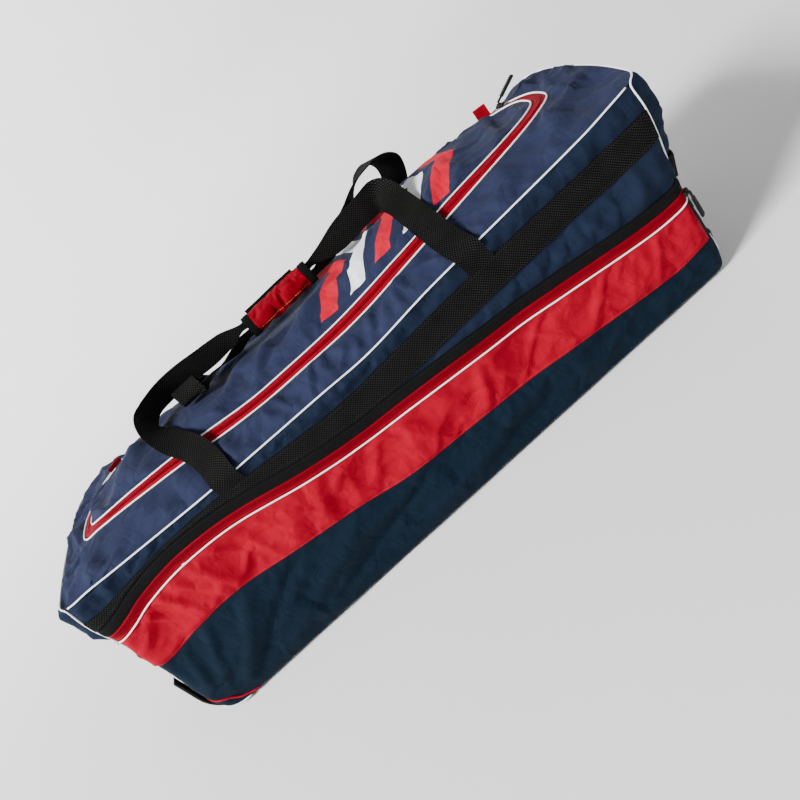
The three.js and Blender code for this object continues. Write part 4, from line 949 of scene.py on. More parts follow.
# Side straps: 40 mm black nylon webbing sewn flat along each side, over the upper panel. They take
# the load of the handles, and their lower edge runs in under the zip's flap at the wheel end.
STRAP_OUT = 2.1
STRAP_WALL = 1.8
STRAP_CELL = 6
STRAP_ROWS = 8
STRAP_WAVE = (0.3, 0.05, 31)
STRAP_SAMPLES = 300
STRAP_STITCH_OUT = STRAP_OUT + 0.1
nylon_webbing = webbing_material("black_nylon_webbing", 2.1, 0.024, 0.0012)
for side, start, stop in WHOLE_SIDES:
    bm = wall_strip(start, stop, strap_low, strap_top, STRAP_CELL, STRAP_ROWS, lambda v: STRAP_OUT,
                    STRAP_WAVE)
    make_piece(bm, f"side_webbing_{side}", nylon_webbing, [f"side_strap_{side}"],
               thickness=STRAP_WALL)
    run = np.linspace(start + SEAM_STITCH_ENDS, stop - SEAM_STITCH_ENDS, STRAP_SAMPLES)
    upper = strap_top(run) - EDGE_STITCH_IN
    lower = np.minimum(strap_low(run) + EDGE_STITCH_IN, strap_top(run) - 1)
    rows = [wall_row(run, rise, STRAP_STITCH_OUT) for rise in (upper, lower)]
    dash_piece(f"side_webbing_stitches_{side}", rows, black_thread)


# Pull end: a lower and an upper navy panel with the zip running round between them. The cloth is
# slack here and dents where nothing fills the bag.
PULL_LOW_FOLDS = [(455, 70, 60, 9, 80, -2), (455, 40, 50, 8, 20, -2)]


def level_at(rise):
    """A panel's edge that stays at one rise."""
    return lambda distance: np.full(np.shape(distance), rise)


start, stop = FRONT_RIGHT + SEAM_ROOM, BACK_RIGHT - SEAM_ROOM
wall_panel("pull_end_lower_cloth", start, stop, level_at(LOWEST), above(tape_low, -GAP), navy_lower_shaded,
           ["pull_end_lower"], seed=41, fullness=0.8, folds=PULL_LOW_FOLDS)
wall_panel("pull_end_upper_cloth", start, stop, upper_low, upper_top, navy_upper, ["pull_end_upper"],
           seed=47, fullness=1.0)


# Wheel end: one navy polyester panel from the moulded guard up to the piped top edge. It is sewn to
# the sides along the piped corners and hangs slack over the wheels.
GUARD_TOP = 102
wall_panel("wheel_end_cloth", SEAM_ROOM - FRONT_LEFT, FRONT_LEFT - SEAM_ROOM, level_at(GUARD_TOP + GAP),
           upper_top, navy_upper, ["wheel_end_panel"], seed=53, fullness=1.0)


# Top panel: one navy ring of cloth between the piped top edge and the lid's zip. Short puckers run
# between the two seams, most of them near the handles and at both ends.
RING_LENGTH = 434
RING_WIDTH = 101
RING_POWER = 2.8
RING_X = -5
RING_TAPE = 9
RING_PIPING = RING_TAPE + PIPING_HALF + GAP
RING_PANEL = RING_PIPING + PIPING_HALF + GAP
CORNER_STEPS = 2
SIDE_STEPS = 18
END_STEPS = 4
SIDE_COUNT = SIDE_STEPS + 2 * CORNER_STEPS
END_COUNT = END_STEPS + 2 * CORNER_STEPS
RING_COUNT = 2 * (SIDE_COUNT + END_COUNT)


def outline_run(straight, steps):
    half = np.linspace(0, HALF_CORNER, CORNER_STEPS + 1)
    return np.concatenate([half, HALF_CORNER + np.linspace(0, straight, steps + 1)[1:],
                           HALF_CORNER + straight + half[1:]])


SIDE_RUN = outline_run(STRAIGHT_SIDE, SIDE_STEPS)
END_RUN = outline_run(STRAIGHT_END, END_STEPS)
RING_DISTANCE = np.concatenate([
    FRONT_LEFT + SIDE_RUN, FRONT_RIGHT + END_RUN[1:], BACK_RIGHT + SIDE_RUN[1:],
    PERIMETER - FRONT_LEFT + END_RUN[1:]])
side_square = np.linspace(-1, 1, SIDE_COUNT + 1)
end_square = np.linspace(-1, 1, END_COUNT + 1)
RING_U = np.concatenate([side_square, np.ones(END_COUNT), -side_square[1:], -np.ones(END_COUNT)])
RING_V = np.concatenate([-np.ones(SIDE_COUNT + 1), end_square[1:], np.ones(SIDE_COUNT), -end_square[1:]])


def ring_plan(u, v, out):
    """A place in the lid's plan from a place in a square, with its edge set out or in from the ring."""
    dx = u * np.sqrt(1 - v * v / 2)
    dy = v * np.sqrt(1 - u * u / 2)
    reach = np.maximum(np.hypot(dx, dy), TINY)
    norm = (np.abs(dx / reach) ** RING_POWER + np.abs(dy / reach) ** RING_POWER) ** (1 / RING_POWER)
    norm = np.maximum(norm, TINY)
    return RING_X + (RING_LENGTH + out) * dx / norm, (RING_WIDTH + out) * dy / norm


def ring_at(share, out):
    """A place in plan at a share of the way round the ring."""
    station = np.arange(RING_COUNT + 1)
    at = share * RING_COUNT
    return ring_plan(np.interp(at, station, RING_U), np.interp(at, station, RING_V), out)


def top_point(x, y):
    return np.stack([x, y, top_height(x, y)], -1)


def top_outs(x, y):
    slope_x = (top_height(x + 1, y) - top_height(x - 1, y)) / 2
    slope_y = (top_height(x, y + 1) - top_height(x, y - 1)) / 2
    return unit(np.stack([-slope_x, -slope_y, np.ones_like(slope_x)], -1))


def on_top(x, y, out):
    return top_point(x, y) + top_outs(x, y) * np.asarray(out)[..., None]


TOP_FOLDS = [
    (-455, -70, 30, 6, 40, -2.5), (-440, -110, 36, 6, 20, -2.5), (-415, -128, 34, 6, 65, -2.5),
    (-350, -132, 30, 6, 110, -2.5), (-290, -130, 30, 6, 70, -2), (-150, -128, 30, 6, 60, -2.5),
    (-95, -130, 30, 7, 120, -3), (-40, -128, 30, 6, 55, -3), (10, -134, 34, 7, 140, -3),
    (60, -126, 28, 6, 60, -2.5), (120, -130, 30, 6, 100, -2), (260, -128, 40, 7, 130, -2),
    (390, -110, 40, 8, 60, -2.5), (445, -40, 34, 7, 100, -2.5), (448, 50, 36, 7, 80, -2.5)]
TOP_ROUND = 600
TOP_ACROSS = 14
TOP_SEWN = 3.0  # cells over which the slack grows from a seam


def top_place(u, v):
    station = np.arange(RING_COUNT + 1)
    distance = np.interp(u * RING_COUNT, station, RING_DISTANCE)
    edge = wall(distance, edge_rise(distance))
    _, _, nx, ny = outline(distance)
    inner_x, inner_y = ring_at(u, RING_PIPING + SEAM_ROOM)
    outer_x, outer_y = edge[:, 0] - nx * SEAM_ROOM, edge[:, 1] - ny * SEAM_ROOM
    return outer_x + (inner_x - outer_x) * v, outer_y + (inner_y - outer_y) * v


def top_shape(u, v):
    x, y = top_place(u, v)
    free = np.clip(np.minimum(v, 1 - v) * TOP_ACROSS / TOP_SEWN, 0, 1)
    lumps = slack(top_point(x, y) * MM, seed=61, fullness=1.25, drawn=1.1)
    return on_top(x, y, free * (lumps - FOLD_DEPTH * dents(TOP_FOLDS, x, -np.abs(y))))


# A lighter copy of the upper panels' navy cloth: painted light for the top, which faces the light.
navy_top_lit = woven_cloth("navy_top_cloth_painted_light", (0.0240, 0.0300, 0.0690), (0.0130, 0.0165, 0.0380), 0.58, 0.02)
bm, _ = mapped_grid(TOP_ROUND, TOP_ACROSS, top_shape, top_place)
bmesh.ops.remove_doubles(bm, verts=bm.verts, dist=MERGE)
rim = sewn_edge(bm)
top_cloth = make_piece(bm, "top_cloth", navy_top_lit, ["top_panel"], thickness=CLOTH_WALL)
settle(top_cloth, rim, spare=0.04)


# Lid: the domed navy panel inside the zip, with a row of plain red and white chevrons printed
# towards the pull end. It lies slack, with broad folds where the handles press on it.
PRINT_FROM = 62
PRINT_PITCH = 52
PRINT_COUNT = 5
PRINT_FILL = 0.55
PRINT_HALF = 74
PRINT_SLOPE = 0.7
RED_INK = ((0.40, 0.003, 0.018), (0.52, 0.006, 0.028))
WHITE_INK = ((0.70, 0.71, 0.73), (0.82, 0.82, 0.83))
LID_CELLS = (210, 48)
LID_SEWN = 4
LID_FOLDS = [
    (-330, -20, 90, 16, 28, -3), (-280, 20, 100, 15, 40, -3.5), (-215, -40, 80, 14, 55, -4),
    (-170, 10, 80, 12, 62, 3), (-140, -35, 70, 12, 48, -4), (-85, -45, 60, 10, 60, -3.5),
    (-40, -30, 70, 11, 36, 3), (-10, -50, 70, 10, 24, -3), (60, 0, 90, 13, 40, -2.5),
    (150, 30, 80, 14, 52, -2.5), (270, -20, 90, 15, 34, -2.5), (350, 0, 60, 13, 70, -2.5),
    (-80, 40, 280, 24, 2, -4)]
LID_PRESSED = [
    (-182, -12, 55, 42, 0, 1.4), (-15, 20, 80, 32, 0, 1.4), (-244, -70, 40, 34, 0, 1.4),
    (-203, 62, 36, 46, 0, 1.8), (-258, 2, 26, 32, 0, 1.8)]


def lid_lift(x, y):
    """How far the lid stands over the dome, from its edge to its middle."""
    reach = np.abs((x - RING_X) / (RING_LENGTH - RING_PANEL)) ** RING_POWER
    across = np.abs(y / (RING_WIDTH - RING_PANEL)) ** RING_POWER
    return LID_RISE * np.maximum(0, 1 - (reach + across) ** (2 / RING_POWER))


def lid_place(u, v):
    return ring_plan(2 * u - 1, 2 * v - 1, -RING_PIPING - SEAM_ROOM)


def lid_shape(u, v):
    x, y = lid_place(u, v)
    free = np.clip(cells_inside(u, v, *LID_CELLS) / LID_SEWN, 0, 1)
    lumps = slack(top_point(x, y) * MM, seed=71, fullness=1.0, drawn=1.8)
    lumps = lumps - FOLD_DEPTH * dents(LID_FOLDS, x, y)
    pressed = np.minimum(1, dents(LID_PRESSED, x, y))
    return on_top(x, y, lid_lift(x, y) + free * (lumps - pressed * np.maximum(lumps, 0)))


def printed_lid(name):
    """The top's cloth, with its painted light, and the chevrons laid over it, in the lid's own plan."""
    material = navy_top_lit.copy()
    material.name = name
    tree = material.node_tree
    shader = tree.nodes["Principled BSDF"]
    cloth_shade = shader.inputs["Base Color"].links[0].from_socket
    place = coordinates(tree, "UV")
    split = add_node(tree, "ShaderNodeSeparateXYZ", {0: place})
    aside = maths(tree, "ABSOLUTE", split.outputs["Y"])
    leaned = maths(tree, "ADD", split.outputs["X"], maths(tree, "MULTIPLY", aside, PRINT_SLOPE))
    step = maths(tree, "DIVIDE", maths(tree, "SUBTRACT", leaned, PRINT_FROM * MM), PRINT_PITCH * MM)
    mask = maths(tree, "LESS_THAN", maths(tree, "FRACT", step), PRINT_FILL)
    for operation, value, limit in (
            ("LESS_THAN", aside, PRINT_HALF * MM), ("GREATER_THAN", step, 0.0),
            ("LESS_THAN", step, float(PRINT_COUNT))):
        mask = maths(tree, "MULTIPLY", mask, maths(tree, operation, value, limit))
    number = maths(tree, "FLOOR", step)
    white = maths(tree, "GREATER_THAN", maths(tree, "MODULO", number, 2.0), 0.5)
    faded = speckle(tree, place, 50.0, 4.0)
    red_ink, white_ink = (blended(tree, faded, *pair) for pair in (RED_INK, WHITE_INK))
    dress(tree, shader, blended(tree, mask, cloth_shade, blended(tree, white, red_ink, white_ink)))
    return material


bm, _ = mapped_grid(*LID_CELLS, lid_shape, lid_place)
rim = sewn_edge(bm)
lid = make_piece(bm, "lid_cloth", printed_lid("navy_printed_lid_painted_light"), ["lid_panel"],
                 thickness=CLOTH_WALL)
settle(lid, rim, spare=0.02, push=0.02, stiff=0.6)


# Lid zip: a red coil zip all round the lid, with the same tape and coils as the side zip. White piping
# is sewn into the seams on both sides of it.
RING_ROUND = 560
RING_ROWS = 24
RING_LAID = 2200  # length of the tape when it is laid flat
RING_WAVE = (0.4, 0.03, 83)


def ring_line(out_plan, lift):
    share = np.linspace(0, 1, RING_ROUND + 1)
    x, y = ring_at(share, out_plan)
    return on_top(x, y, lift), top_outs(x, y)


def ring_tape_place(u, v):
    return u * RING_LAID, (2 * v - 1) * RING_TAPE


def ring_tape_shape(u, v):
    aside = (1 - 2 * v) * RING_TAPE
    x, y = ring_at(u, aside)
    height, size, seed = RING_WAVE
    wave = height * rumple(np.stack([x, y, 0 * x], -1) * MM, size, seed)
    return on_top(x, y, zip_ridges(aside) + wave)


bm, _ = mapped_grid(RING_ROUND, RING_ROWS, ring_tape_shape, ring_tape_place)
bmesh.ops.remove_doubles(bm, verts=bm.verts, dist=MERGE)
make_piece(bm, "lid_zip_tape", red_tape, ["lid_zip"], thickness=TAPE_WALL)
points, outs = ring_line(0, 0)
asides = unit(np.cross(outs, np.gradient(points, axis=0)))
coil_rows("lid_zip_coil", points, asides, outs)
for name, out_plan in (("outer", RING_PIPING), ("inner", -RING_PIPING)):
    points, outs = ring_line(out_plan, PIPING_PROUD)
    bm = swept(points, outs, PIPING_SECTION, closed=True)
    make_piece(bm, f"lid_piping_{name}_cord", piping_white, [f"lid_piping_{name}"])


# Carry handles: two 40 mm webbing loops, each sewn to a side strap and lying slack over the lid. Each
# twists and rolls before the grip gathers both, and the back one stands up in a loop behind it.
HANDLE_STEPS = 300
HANDLE_ACROSS = 6
HANDLE_WALL = 1.9
CENTRED = 0.0  # offset of cloth that is as thick on both sides of its shape
NO_STEP = 1e-4  # below which two rows are one place
# x, y, z of the strap's middle, the way its inner edge lies, and its width
FRONT_HANDLE = np.array([
    (-209, -159, 257, 1, 0, 0, 40), (-209, -160.4, 264.5, 1, 0, 0, 40), (-209, -162, 280, 1, 0, 0, 40),
    (-210, -142, 297, 1, 0, 0, 40), (-216, -119, 310, 1, 0.05, 0, 40), (-227, -97, 322, 0.97, 0.2, 0, 40),
    (-241, -77, 332, 0.9, 0.42, -0.1, 40), (-251, -57, 340, 0.76, 0.62, -0.2, 40),
    (-260, -36, 349, 0.5, 0.75, -0.42, 40), (-264, -12, 356, 0.25, 0.7, -0.66, 40),
    (-261, 8, 357, 0.1, 0.6, -0.8, 40), (-252, 22, 359, 0, 0.48, -0.88, 40),
    (-228, 30, 360, 0, 0.35, -0.93, 40), (-195, 32, 359, 0, 0.25, -0.97, 39),
    (-150, 32, 354, 0, 0.2, -0.98, 37), (-113, 29, 353, 0, 0.2, -0.98, 30),
    (-86, 22, 353, 0, 0.1, -0.99, 12), (-72, 20, 352, 0, 0, -1, 11), (-16, 20, 352, 0, 0, -1, 11),
    (40, 20, 352, 0, 0, -1, 11), (54, 19, 353, 0, 0.1, -0.99, 12), (89, 16, 352, 0, 0.1, -0.99, 32),
    (119, 13, 356, 0, 0.1, -0.99, 40), (151, 11, 359, 0, 0.1, -0.99, 40),
    (183, 7, 359, -0.72, 0.15, -0.67, 46), (192, -26, 347, -1, 0, 0, 41), (194, -76, 330, -1, 0, 0, 40),
    (195, -110, 315, -1, 0, 0, 40), (198, -141, 297, -1, 0, 0, 40), (204, -163, 279, -1, 0, 0, 40),
    (207, -162, 257, -1, 0, 0, 40), (207, -159.8, 246, -1, 0, 0, 40)], float)
BACK_HANDLE = np.array([
    (-209, 159, 257, 1, 0, 0, 40), (-209, 160.4, 264.5, 1, 0, 0, 40), (-209, 162, 280, 1, 0, 0, 40),
    (-208, 142, 295, 1, 0, 0, 40), (-206, 110, 311, 1, 0, 0, 40), (-203, 75, 326, 1, 0, 0, 40),
    (-200, 48, 334, 1, 0, 0, 40), (-198, 32, 338, 1, 0, 0, 40), (-197, 19, 343, 1, 0, 0, 40),
    (-196, 8, 352, 1, 0, 0, 40), (-194, -2, 358, 1, 0, 0, 40), (-192, -12, 360, 1, 0, 0, 40),
    (-190, -22, 358, 1, 0, 0, 40), (-188, -29, 352, 1, 0, 0, 40), (-187, -31, 345, 1, 0, 0, 40),
    (-185, -26, 339, 0.97, -0.25, 0, 40), (-174, -13, 339, 0.75, -0.65, 0.1, 40),
    (-152, -5, 340, 0.3, -0.92, 0.2, 38), (-128, -2, 340, 0, -0.93, 0.35, 34),
    (-106, 5, 340, 0, -0.75, 0.66, 26), (-86, 17, 340, 0, -0.2, 0.98, 12), (-72, 20, 339, 0, 0, 1, 11),
    (-16, 20, 339, 0, 0, 1, 11), (40, 20, 339, 0, 0, 1, 11), (54, 22, 339, 0, -0.1, 0.99, 12),
    (82, 30, 343, 0, -0.25, 0.97, 24), (112, 37, 351, 0, -0.45, 0.89, 34),
    (140, 44, 363, -0.15, -0.75, 0.62, 39), (164, 52, 377, -0.15, -0.92, 0.33, 40),
    (190, 64, 386, 0.25, -0.95, 0.1, 40), (217, 84, 383, 0.6, -0.8, 0, 40),
    (235, 106, 361, 0.85, -0.5, 0, 40), (234, 124, 335, 0.97, -0.2, 0, 40),
    (224, 143, 305, 1, 0, 0, 40), (212, 162, 278, 1, 0, 0, 40), (208, 162, 257, 1, 0, 0, 40),
    (208, 159.8, 246, 1, 0, 0, 40)], float)


def smooth_line(rows, share):
    """Places on one smooth curve through rows, at shares of their count."""
    rows = np.vstack([2 * rows[0] - rows[1], rows, 2 * rows[-1] - rows[-2]])
    last = len(rows) - 4
    at = share * (last + 1)
    i = np.minimum(at.astype(int), last)
    t = (at - i)[:, None]
    p0, p1, p2, p3 = rows[i], rows[i + 1], rows[i + 2], rows[i + 3]
    d0, d1, d2 = (np.sqrt(np.linalg.norm(b - a, axis=1, keepdims=True))
                  for a, b in ((p0, p1), (p1, p2), (p2, p3)))
    d1 = np.where(d1 < NO_STEP, 1.0, d1)
    d0 = np.where(d0 < NO_STEP, d1, d0)
    d2 = np.where(d2 < NO_STEP, d1, d2)
    lean1 = ((p1 - p0) / d0 - (p2 - p0) / (d0 + d1) + (p2 - p1) / d1) * d1
    lean2 = ((p2 - p1) / d1 - (p3 - p1) / (d1 + d2) + (p3 - p2) / d2) * d1
    return (p1 + lean1 * t + (3 * p2 - 3 * p1 - 2 * lean1 - lean2) * t ** 2
            + (2 * p1 - 2 * p2 + lean1 + lean2) * t ** 3)


def ribbon(points, asides, widths, across):
    """A flat strap along points, with each place's own way across and width."""
    count = len(points) - 1
    travelled = travelled_along(points)

    def shape(u, v):
        i = step_at(u, count)
        return points[i] + asides[i] * ((v - 0.5) * widths[i])[:, None]

    def laid(u, v):
        i = step_at(u, count)
        return travelled[i], (v - 0.5) * widths[i]

    return mapped_grid(count, across, shape, laid)[0]


share = np.linspace(0, 1, HANDLE_STEPS + 1)
for side, rows in (("front", FRONT_HANDLE), ("back", BACK_HANDLE)):
    points = smooth_line(rows[:, :3], share)
    ways = unit(np.gradient(points, axis=0))
    lies = smooth_line(rows[:, 3:6], share)
    lies = unit(lies - ways * (lies * ways).sum(1, keepdims=True))
    widths = smooth_column(np.stack([np.linspace(0, 1, len(rows)), rows[:, 6]], -1), share)
    bm = ribbon(points, lies, widths, HANDLE_ACROSS)
    make_piece(bm, f"handle_webbing_{side}", nylon_webbing, [f"handle_{side}"],
               thickness=HANDLE_WALL, offset=CENTRED)


# Grip: a padded red cloth wrap that gathers both handles, closed along its back with a black flap.
# Its ends are bound in black, and the slack cloth puckers between them.
GRIP_FROM = -64
GRIP_TO = 34
GRIP_BAND = 11
GRIP_HALF_HEIGHT = 16
GRIP_HALF_DEPTH = 8.5
GRIP_Y = 20
GRIP_Z = 345.5
GRIP_SQUARE = 3.4
GRIP_ROUND = 64
GRIP_ALONG = 54
GRIP_WALL = 2.2
BAND_OVER = 1.2
BAND_ALONG = 8
BAND_WALL = 2.4
SLEEVE_GIRTH = 78
SLEEVE_LUMP = 0.5
SLEEVE_LUMP_SIZE = 0.012
SLEEVE_SPREAD = np.array([0.1, 0.01, 0.02])  # metres of noise along, across and up the sleeve
FLAP_LENGTH = 88
FLAP_HEIGHT = 33
FLAP_WALL = 1.6
FLAP_CELLS = (30, 12)
FLAP_RAISED = 2
FLAP_OUT = GRIP_HALF_DEPTH + 2.6
FLAP_LEAN = 2.2
FLAP_RIPPLE = 0.6
FLAP_CLOSE = 0.6  # how far the flap may come towards the grip
GRIP_SAMPLES = 40
GRIP_STITCH_LOW = 9.5
GRIP_STITCH_LIFT = 0.2
GRIP_STITCH_PITCH = 4.4
GRIP_STITCH_SIZE = (3.0, 0.7, 0.4)


def sleeve(start, stop, along, grow, swell, seed):
    """A tube of rounded section along X, open at both ends, swelling towards its middle."""
    def section_place(u, v):
        turn = 2 * math.pi * v
        c, s = np.cos(turn), np.sin(turn)
        full = grow + swell * np.sin(math.pi * u) ** 0.6
        net = np.stack([u, c, s], -1) * SLEEVE_SPREAD
        lumps = SLEEVE_LUMP * rumple(net, SLEEVE_LUMP_SIZE, seed) * np.sin(math.pi * u)
        y = np.sign(c) * np.abs(c) ** (2 / GRIP_SQUARE) * (GRIP_HALF_DEPTH + full + lumps)
        z = np.sign(s) * np.abs(s) ** (2 / GRIP_SQUARE) * (GRIP_HALF_HEIGHT + full + lumps)
        return np.stack([start + (stop - start) * u, GRIP_Y + y, GRIP_Z + z], -1)

    def laid(u, v):
        return (stop - start) * u, SLEEVE_GIRTH * v

    bm, _ = mapped_grid(along, GRIP_ROUND, section_place, laid)
    bmesh.ops.remove_doubles(bm, verts=bm.verts, dist=MERGE)
    bmesh.ops.recalc_face_normals(bm, faces=bm.faces)
    return bm


red_grip = woven_cloth("red_grip_cloth", (0.270, 0.0008, 0.0120), (0.150, 0.0004, 0.0062), 0.5, thread=0.7)
bm = sleeve(GRIP_FROM, GRIP_TO, GRIP_ALONG, grow=-0.4, swell=1.0, seed=91)
sewn_back = np.array([vert.co.y > (GRIP_Y + GRIP_HALF_DEPTH / 2) * MM for vert in bm.verts])
held = sewn_edge(bm) | sewn_back
grip = make_piece(bm, "grip_cloth", red_grip, ["grip_wrap"], thickness=GRIP_WALL)
settle(grip, held, spare=0.06, push=0.3, reach=2.2, stiff=0.6)
for hand, start, stop in (
        ("left", GRIP_FROM - GRIP_BAND, GRIP_FROM + BAND_OVER),
        ("right", GRIP_TO - BAND_OVER, GRIP_TO + GRIP_BAND)):
    bm = sleeve(start, stop, BAND_ALONG, grow=0.4, swell=0.5, seed=97)
    make_piece(bm, f"grip_binding_{hand}", grosgrain, [f"grip_band_{hand}"],
               thickness=BAND_WALL)


def grip_flap_shape(u, v):
    ripple = FLAP_RIPPLE * np.sin(9 * u + 2 * v)
    lean = FLAP_LEAN * np.sin(math.pi * u) ** 2 * (v - 0.5) + ripple
    x = GRIP_FROM + FLAP_LENGTH * u
    z = GRIP_Z + FLAP_RAISED + FLAP_HEIGHT * (v - 0.5)
    return np.stack([x, GRIP_Y + FLAP_OUT + np.maximum(lean, -FLAP_CLOSE), z], -1)


bm, _ = mapped_grid(*FLAP_CELLS, grip_flap_shape, lambda u, v: (FLAP_LENGTH * u, FLAP_HEIGHT * v))
make_piece(bm, "grip_closing_flap", grosgrain, ["grip_flap"], thickness=FLAP_WALL,
           offset=CENTRED)
bpy.context.view_layer.update()
run = np.linspace(GRIP_FROM + SEAM_STITCH_ENDS, GRIP_TO - SEAM_STITCH_ENDS, GRIP_SAMPLES)
outs = np.tile([0.0, -1.0, 0.0], (GRIP_SAMPLES, 1))
low_front = np.array([0, GRIP_Y - GRIP_HALF_DEPTH, GRIP_Z - GRIP_STITCH_LOW])
points = nearest_heights(grip, np.outer(run, (1, 0, 0)) + low_front, outs, GRIP_STITCH_LIFT)
orange_thread = thread_material("orange_thread", (0.72, 0.16, 0.05))
dash_piece("grip_stitches", [(points, outs)], orange_thread, GRIP_STITCH_PITCH,
           GRIP_STITCH_SIZE)


# Grab loop: a short strap of webbing across the pull end, bowed out far enough for a hand and sewn
# down at both ends over the zip's flap.
LOOP_HALF = 144
LOOP_OUT = 26
LOOP_LIFT = 2.6
LOOP_WIDTH = 30.0
LOOP_ABOVE = 4
LOOP_STEPS = 120
LOOP_ACROSS = 5
loop_middle = FRONT_RIGHT + HALF_CORNER + STRAIGHT_END / 2
loop_rise = float(binding_top(loop_middle)) + LOOP_ABOVE
share = np.sin(np.linspace(-math.pi / 2, math.pi / 2, LOOP_STEPS + 1))
run = loop_middle + share * LOOP_HALF
bow = LOOP_OUT * np.sqrt(np.maximum(0, 1 - share ** 4))
points = on_wall(run, loop_rise, LOOP_LIFT + bow)
ups = wall_ways(run, loop_rise)[1]
make_piece(ribbon(points, ups, np.full(LOOP_STEPS + 1, LOOP_WIDTH), LOOP_ACROSS), "grab_loop_webbing",
           nylon_webbing, ["grab_loop"], thickness=HANDLE_WALL, offset=CENTRED)


# Zip sliders and pullers: moulded black sliders on the coils, each with a ribbed puller on a bar. Two
# are parked at the pull end's front corner, and one waits on the lid.
COIL_HEIGHT = 1.6
SLIDER_SIZE = (12, 9, 4.5)
SLIDER_TAPER = 0.76
SLIDER_RADIUS = 1.1
EDGE_RADIUS = 0.8
BRIDGE_SIZE = (7, 2.6, 2.4)
BRIDGE_AT = (-0.5, 0, SLIDER_SIZE[2] + 0.6)
PULLER_LENGTH = 42
PULLER_WIDTH = 8.4
PULLER_THICK = 4
PULLER_RADIUS = 1.7
STEM_LENGTH = 13
STEM_WIDTH = 4.8
STEM_THICK = 2.6
STEM_OVER = 4  # how far the puller's wide part reaches up its stem
RIBS = 6
RIB_FROM = 5
RIB_PITCH = 3.4
RIB_SIZE = (PULLER_WIDTH - 2, 1.5, 1.2)
RIB_RADIUS = 0.5
# name and distance past the pull end's front corner
SIDE_SLIDERS = [("front", -12), ("end", 8)]
SLIDER_LIFT = COIL_HEIGHT + 2 * GAP
PULLER_LIFT = SLIDER_LIFT + SLIDER_SIZE[2] + GAP


def scuffed(name, fresh, worn, specular, scuff, span, rough, grain, depth):
    """A moulding with a fine grain, paler and rougher where it is scuffed."""
    material, tree, shader = new_material(name, specular_ior_level=specular)
    place = coordinates(tree, "Object")
    scale, distortion = scuff
    wear = speckle(tree, place, scale, 5.0, distortion)
    shade = blended(tree, eased(tree, wear, *span), fresh, worn)
    relief = bumped(tree, speckle(tree, place, *grain), depth * MM, 0.7)
    dress(tree, shader, shade, relief, eased(tree, wear, 0.3, span[1], *rough))
    return material


moulded = scuffed(
    "black_moulded_plastic", (0.0035, 0.0036, 0.0038), (0.0090, 0.0091, 0.0095), specular=0.12,
    scuff=(38.0, 0.8), span=(0.4, 0.75), rough=(0.42, 0.62), grain=(1400.0, 3.0), depth=0.12)


def rounded_block(bm, size, middle, radius, segments=2):
    """A block with all its edges rounded, in millimetres."""
    place = Matrix.Translation(Vector(middle) * MM) @ Matrix.Diagonal((*(Vector(size) * MM), 1))
    made = bmesh.ops.create_cube(bm, size=1.0, matrix=place)["verts"]
    edges = list({edge for vert in made for edge in vert.link_edges})
    bmesh.ops.bevel(bm, geom=edges, offset=radius * MM, affect="EDGES", segments=segments, profile=0.5,
                    material=-1)


def standing(point, x, y, z):
    """The place of a small part: its three ways, at a point in millimetres."""
    turn = Matrix([Vector(way) for way in (x, y, z)]).transposed().to_4x4()
    return Matrix.Translation(Vector(point) * MM) @ turn


def slider_piece(name, node, place):
    bm = bmesh.new()
    rounded_block(bm, SLIDER_SIZE, (0, 0, SLIDER_SIZE[2] / 2), SLIDER_RADIUS, 3)
    for vert in bm.verts:
        if vert.co.x < 0:
            vert.co.y *= SLIDER_TAPER
    rounded_block(bm, BRIDGE_SIZE, BRIDGE_AT, EDGE_RADIUS)
    bmesh.ops.transform(bm, matrix=place, verts=bm.verts)
    make_piece(bm, name, moulded, [node])


def puller_piece(name, node, place):
    bm = bmesh.new()
    middle = PULLER_THICK / 2
    rounded_block(bm, (STEM_WIDTH, STEM_LENGTH, STEM_THICK), (0, -STEM_LENGTH / 2, middle), EDGE_RADIUS)
    long = PULLER_LENGTH - STEM_LENGTH + STEM_OVER
    rounded_block(bm, (PULLER_WIDTH, long, PULLER_THICK), (0, long / 2 - PULLER_LENGTH, middle),
                  PULLER_RADIUS, 3)
    for i in range(RIBS):
        y = RIB_FROM + RIB_PITCH * i - PULLER_LENGTH
        rounded_block(bm, RIB_SIZE, (0, y, PULLER_THICK), RIB_RADIUS, 1)
    bmesh.ops.transform(bm, matrix=place, verts=bm.verts)
    make_piece(bm, name, moulded, [node])


UP = np.array([0.0, 0.0, 1.0])
for name, past in SIDE_SLIDERS:
    distance = FRONT_RIGHT + past
    rise = zip_rise(distance)
    along, up, out = wall_ways(distance, rise)
    slider_piece(f"side_slider_{name}_body", f"side_slider_{name}",
                 standing(on_wall(distance, rise, SLIDER_LIFT), along, up, out))
    level = unit(out * np.array([1, 1, 0]))
    puller_piece(f"side_puller_{name}_grip", f"side_puller_{name}",
                 standing(on_wall(distance, rise, PULLER_LIFT), np.cross(UP, level), UP, level))


def ring_frame(x):
    """Place on the lid zip's far side with the ways along, across and out."""
    def at(px):
        reach = np.abs((px - RING_X) / RING_LENGTH) ** RING_POWER
        return px, RING_WIDTH * (1 - reach) ** (1 / RING_POWER)

    before = on_top(*np.array(at(x), float), 0.0)
    after = on_top(*np.array(at(x + 1), float), 0.0)
    out = top_outs(*np.array(at(x), float))
    along = unit(after - before)
    return before, along, unit(np.cross(out, along)), out


LID_SLIDER_X = 402
LID_PULLER_RISE = math.radians(22)
point, along, across, out = ring_frame(LID_SLIDER_X)
slider_piece("lid_slider_body", "lid_slider", standing(point + out * SLIDER_LIFT, along, across, out))
way = np.array([-math.cos(LID_PULLER_RISE), 0, -math.sin(LID_PULLER_RISE)])
face = np.array([-math.sin(LID_PULLER_RISE), 0, math.cos(LID_PULLER_RISE)])
puller_piece("lid_puller_grip", "lid_puller",
             standing(point + out * (PULLER_LIFT + 2 * GAP), np.cross(way, face), way, face))


